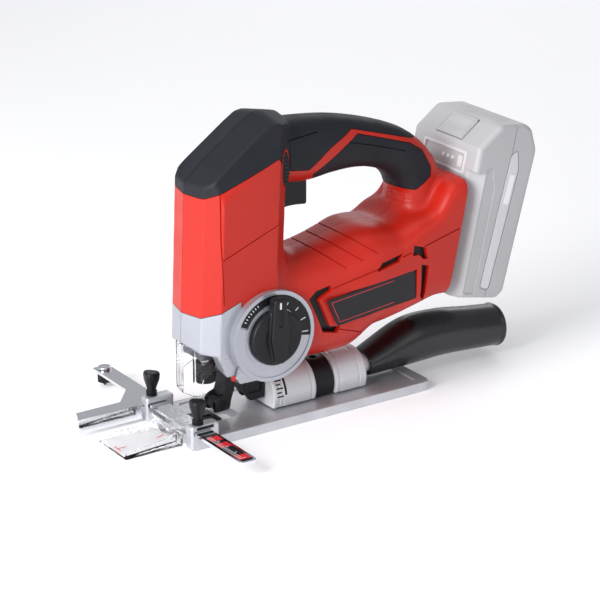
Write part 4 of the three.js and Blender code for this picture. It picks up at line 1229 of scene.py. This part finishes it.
PACK_FOOT = (105.5, 64.0)
PACK_SIDE = 36.4
PACK_PROFILE = [
    (0, 3), (3, 0), (39, 0), (44, 5), (49.4, 104), (42, 118), (36, 121), (15, 119), (0, 102.3),
]
PACK_SEAM = 28.0


def in_pack(x, z):
    """Depth from the pack's front face and height up its length."""
    dx, dz = x - PACK_FOOT[0], z - PACK_FOOT[1]
    c, s = math.cos(BATTERY_LEAN), math.sin(BATTERY_LEAN)
    return dx * c - dz * s, dx * s + dz * c


def out_of_pack(depth, height):
    c, s = math.cos(BATTERY_LEAN), math.sin(BATTERY_LEAN)
    return PACK_FOOT[0] + depth * c + height * s, PACK_FOOT[1] - depth * s + height * c


def pack_form(x, y, z):
    depth, height = in_pack(x, z)
    side = polygon(filleted(PACK_PROFILE, [2, 2, 4, 5, 12, 6, 4, 6, 4], 3), depth, height)
    form = both(side, np.abs(y) - PACK_SIDE, 3.2)
    # The top of the front is narrower, with a bevel down each side.
    bevel = ((np.abs(y) - 27) - depth) / math.sqrt(2)
    shelf = 86 - height
    return both(form, np.minimum(bevel, shelf), 1.0)


def pack_side(points):
    """Side view points, given as depth and height in the pack, as points in x and z."""
    return [out_of_pack(depth, height) for depth, height in points]


def pack_plate(name, outline, near, far):
    """A flat piece on the pack's front face, from an outline in y and height."""
    points = []
    for depth in (near, far):
        for y, height in outline:
            x, z = out_of_pack(depth, height)
            points.append((x, y, z))
    count = len(outline)
    faces = [tuple(range(count - 1, -1, -1)), tuple(range(count, 2 * count))]
    faces += [(i, (i + 1) % count, (i + 1) % count + count, i + count) for i in range(count)]
    return mesh_object(name, points, faces)


BUTTON_TILT = math.radians(48)
BUTTON_PLACE = (7.5, 110.6)


def from_button(along, out):
    """A depth and a height in the pack, from a place along the sloping face and out of it."""
    c, s = math.cos(BUTTON_TILT), math.sin(BUTTON_TILT)
    return BUTTON_PLACE[0] + along * c - out * s, BUTTON_PLACE[1] + along * s + out * c


def make_battery():
    low, high = cad("battery_case")
    _, far = cad("battery_cover")
    box_low = (low[0] - 1, -37, low[2] - 1)
    box_high = (far[0] + 1, 37, max(high[2], far[2]) + 1)
    outer = surface("pack_outer", pack_form, box_low, box_high, 0.9)
    shallow = surface("pack_shallow", lambda x, y, z: pack_form(x, y, z) + 0.7, box_low, box_high, 1.8)
    inner = surface("pack_inner", lambda x, y, z: pack_form(x, y, z) + 3.2, box_low, box_high, 2.6)

    panel = filleted([(9, 3), (18, 3), (18.6, 76), (14, 90), (9.4, 90)], 1.5)
    flank = prism("flank_panel", pack_side(panel), -WIDE, WIDE)
    stripe = filleted([(22.5, 8), (29.5, 6.5), (35.8, 90), (32.5, 103), (28, 99), (25.6, 62)], 2.0)
    line = prism("stripe_line", pack_side(grown(stripe, 0.9)), -WIDE, WIDE)
    tools = unite(flank, line)
    carve(tools, shallow)
    carve(outer, tools)
    carve(outer, inner)
    pocket = pack_side([from_button(along, out) for along, out in rectangle(-9.4, -6, 9.4, 20)])
    window = pack_side(rectangle(-6, 84, 1.0, 96))
    carve(outer, prism("pocket", pocket, -14.4, 14.4), prism("window", window, -21.5, 21.5))
    for name, start, end, node in (("pack_front", -30, PACK_SEAM - 0.2, "battery_case"),
                                   ("pack_rear", PACK_SEAM + 0.2, 90, "battery_cover")):
        cut = prism("half", pack_side(rectangle(start, -20, end, 150)), -WIDE, WIDE)
        piece = boolean(copy_of(outer, name), cut, "INTERSECT")
        finish(shade(largest_part(piece)), "battery", "pack_grey", "pack_grey", node)
    bpy.data.objects.remove(outer)

    def button(x, y, z):
        depth, height = in_pack(x, z)
        du, dv = depth - BUTTON_PLACE[0], height - BUTTON_PLACE[1]
        c, s = math.cos(BUTTON_TILT), math.sin(BUTTON_TILT)
        along, out = du * c + dv * s, dv * c - du * s
        form = both(both(np.abs(along) - 9, np.abs(y) - 14, 1.6), slab(out, -2.4, 1.6), 0.7)
        dish = np.hypot(along, out - 16.0) - 15.0
        form = without(form, both(dish, np.abs(y) - 11, 1.0), 0.4)
        edge = both(np.abs(both(np.abs(along) - 7.4, np.abs(y) - 12.4, 1.2)) - 0.3, 1.0 - out)
        return without(form, edge)

    low, high = cad("battery_release_button")
    piece = surface("pack_button", button, low, high, 0.6)
    finish(shade(piece), "battery_button", "pack_grey", "pack_grey", "battery_release_button")

    # A raised stripe down each flank, with a plain pale badge on the left one.
    for side, name in ((-1, "left"), (1, "right")):
        y0, y1 = sorted((side * (PACK_SIDE - 2.0), side * (PACK_SIDE - 0.1)))
        piece = prism(f"pack_stripe_{name}", pack_side(stripe), y0, y1)
        finish(soften(shade(piece), 0.3), "battery", "pack_grey", "pack_light")
    badge = prism("pack_badge", pack_side(filleted([(28.4, 66), (32.6, 65.7), (34.2, 86), (30, 86.3)], 0.8)),
                  -PACK_SIDE, -PACK_SIDE + 0.3)
    finish(badge, "battery", "pack_grey", "print_white")

    # The charge window: a frame, a push button and three lights.
    frame_outline = filleted(rectangle(-23.4, 82.4, 23.4, 97.6), 1.5)
    piece = pack_plate("window_frame", frame_outline, -0.4, 1.2)
    carve(piece, pack_plate("frame_hole", rectangle(-21.4, 84.2, 21.4, 95.8), -5, 5))
    finish(soften(shade(piece), 0.3), "battery", "pack_grey", "pack_light")
    piece = pack_plate("charge_button", filleted(rectangle(-19.6, 86, -14.6, 94), 1.0), 0.1, 1.4)
    finish(soften(shade(piece), 0.4), "battery", "pack_grey", "pack_light")
    lights = [pack_plate("light", ring_points(1.3, 20, (1.5 - 5.0 * i, 90.5)), 0.5, 1.4) for i in range(3)]
    finish(join("charge_lights", lights), "battery", "pack_grey", "print_white")


# ---------------------------------------------------------------- roller bracket, lever and mount

# Centres of the guide roller, the round eye in the bracket's cheeks and the pendulum's pivot, in x and z.
ROLLER = (-57.5, 14.2)
EYE = (-57.2, 14.2)
PIVOT = (-44, 40)
LEVER_PIN = (-48, -13)


def make_under_parts():
    low, high = cad("roller_bracket")
    outline = filleted([
        (-40.6, 42), (-41, 36.6), (-46.6, 33), (-47.4, 24), (-50, 16.6), (-54.4, 11), (-57.6, 9.6),
        (-60.6, 10.6), (-62, 14), (-60.4, 18), (-56.4, 21), (-54.6, 27), (-54.4, 41), (-49.6, 44.4),
        (-43, 44.4),
    ], 2.5)

    def bracket(x, y, z):
        arm = both(polygon(outline, x, z), np.abs(y) - 6.6, 1.0)
        from_axle = np.hypot(x - ROLLER[0], z - ROLLER[1])
        from_eye = np.hypot(x - EYE[0], z - EYE[1])
        fork = both(from_axle - 5.7, np.abs(y) - 4.2)
        arm = without(arm, fork, 0.3)
        axle = both(from_axle - 1.4, np.abs(y) - 5.5)
        pivot = both(np.hypot(x - PIVOT[0], z - PIVOT[1]) - 2.4, np.abs(y) - 8, 0.3)
        cheek = both(both(from_eye - 6.9, np.abs(y) - 6.6, 1.4), 4.4 - np.abs(y), 0.3)
        # Cut slanting below, so that the tilted shoe stays clear of it.
        cheek = both(cheek, (np.abs(y) + 4.2 - z) / math.sqrt(2), 0.5)
        eye = both(from_eye - 2.6, 6.0 - np.abs(y), 0.2)
        return either(either(without(either(arm, cheek, 1.5), eye, 0.3), axle), pivot)

    piece = surface("bracket", bracket, low, high, 0.5)
    finish(shade(piece), "roller_bracket", "black_metal", "black_metal", "roller_bracket")

    low, high = cad("blade_release_lever")
    x, y = LEVER_PIN
    outline = filleted([(x + 3, y - 1), (x + 2.2, y + 2.4), (x - 1.4, y + 3), (x - 7.6, y - 1.4),
                        (x - 7.2, y - 5.2), (x, y - 4.8)], 1.6)
    lever = prism("lever", outline, low[2], high[2], "z")
    finish(soften(shade(lever), 1.0, 3), "release_lever", "red_lever", "red_lever", "blade_release_lever")

    low, high = cad("tilt_mount")
    corners = [(-40.2, 35.7), (-40.2, 20), (-36, 12.2), (-24.5, 12.2), (-24.5, 35.7)]
    outline = filleted(corners, [0.1, 4, 3, 2, 0.1])

    def mount(x, y, z):
        form = both(polygon(outline, x, z), np.abs(y) - 6.8, 0.9)
        form = without(form, both(np.hypot(y, z - 14) - 3.8, slab(x, -45, -20)), 0.2)
        pocket = both(both(slab(x, -37.5, -27), slab(z, 17.5, 33), 1.5), 5.6 - np.abs(y))
        return without(form, pocket, 0.4)

    piece = surface("mount", mount, low, high, 0.5)
    finish(shade(piece), "housing", "black_plastic", "black_plastic", "tilt_mount")


def make_nose_block():
    """The dark underside of the gearbox, seen through the clear guard."""
    low, high = cad("blade_clamp")
    middle_x = (low[0] + high[0]) / 2
    room = max(high[0] - low[0], high[1] - low[1]) / 2 + 1.6

    def nose(x, y, z):
        form = block(x, y, z, (-76.6, -13.6, 50.5), (-55.4, 13.6, 61.4), 2.5)
        return without(form, np.hypot(x - middle_x, y) - room, 0.4)

    piece = surface("nose_block", nose, (-77, -14, 50), (-55, 14, 62), 0.7)
    finish(shade(piece), "housing", "black_plastic", "nose_grey")


# ---------------------------------------------------------------- CAD nodes that stay

KEPT = {
    "black_plastic": ["switch_module", "terminal_block", "motor_end_bracket", "cooling_fan",
                      "splinter_insert", "battery_rails"],
    "steel": ["rear_bearing", "front_bearing", "gear_axle", "motor_shaft", "crank_gear", "plunger",
              "tilt_pin", "tilt_screw", "cam_shaft"] + [f"housing_screw_{i + 1}" for i in range(4)],
    "alloy": ["motor_can", "bearing_plate", "gearbox_housing"],
    "bronze": ["lower_plunger_bush", "upper_plunger_bush"],
    "copper": ["armature"],
    "black_metal": ["blade_clamp", "guide_roller"],
    "board": ["control_board"],
    "cell_wrap": ["cell_block"],
}


def dress_kept_nodes():
    for look, nodes in KEPT.items():
        for node in nodes:
            piece = bpy.data.objects[node]
            piece.data.materials.clear()
            piece.data.materials.append(LOOK[look])
            soften(piece, 0.3)


make_camera()
make_studio()
make_shells()
make_labels()
make_dial()
make_knob()
make_switches()
make_thumb_screws()
make_sole()
make_cradle()
make_guide()
make_circle_pin()
make_guard()
make_view_plate()
make_tube()
make_battery()
make_under_parts()
make_nose_block()
dress_kept_nodes()
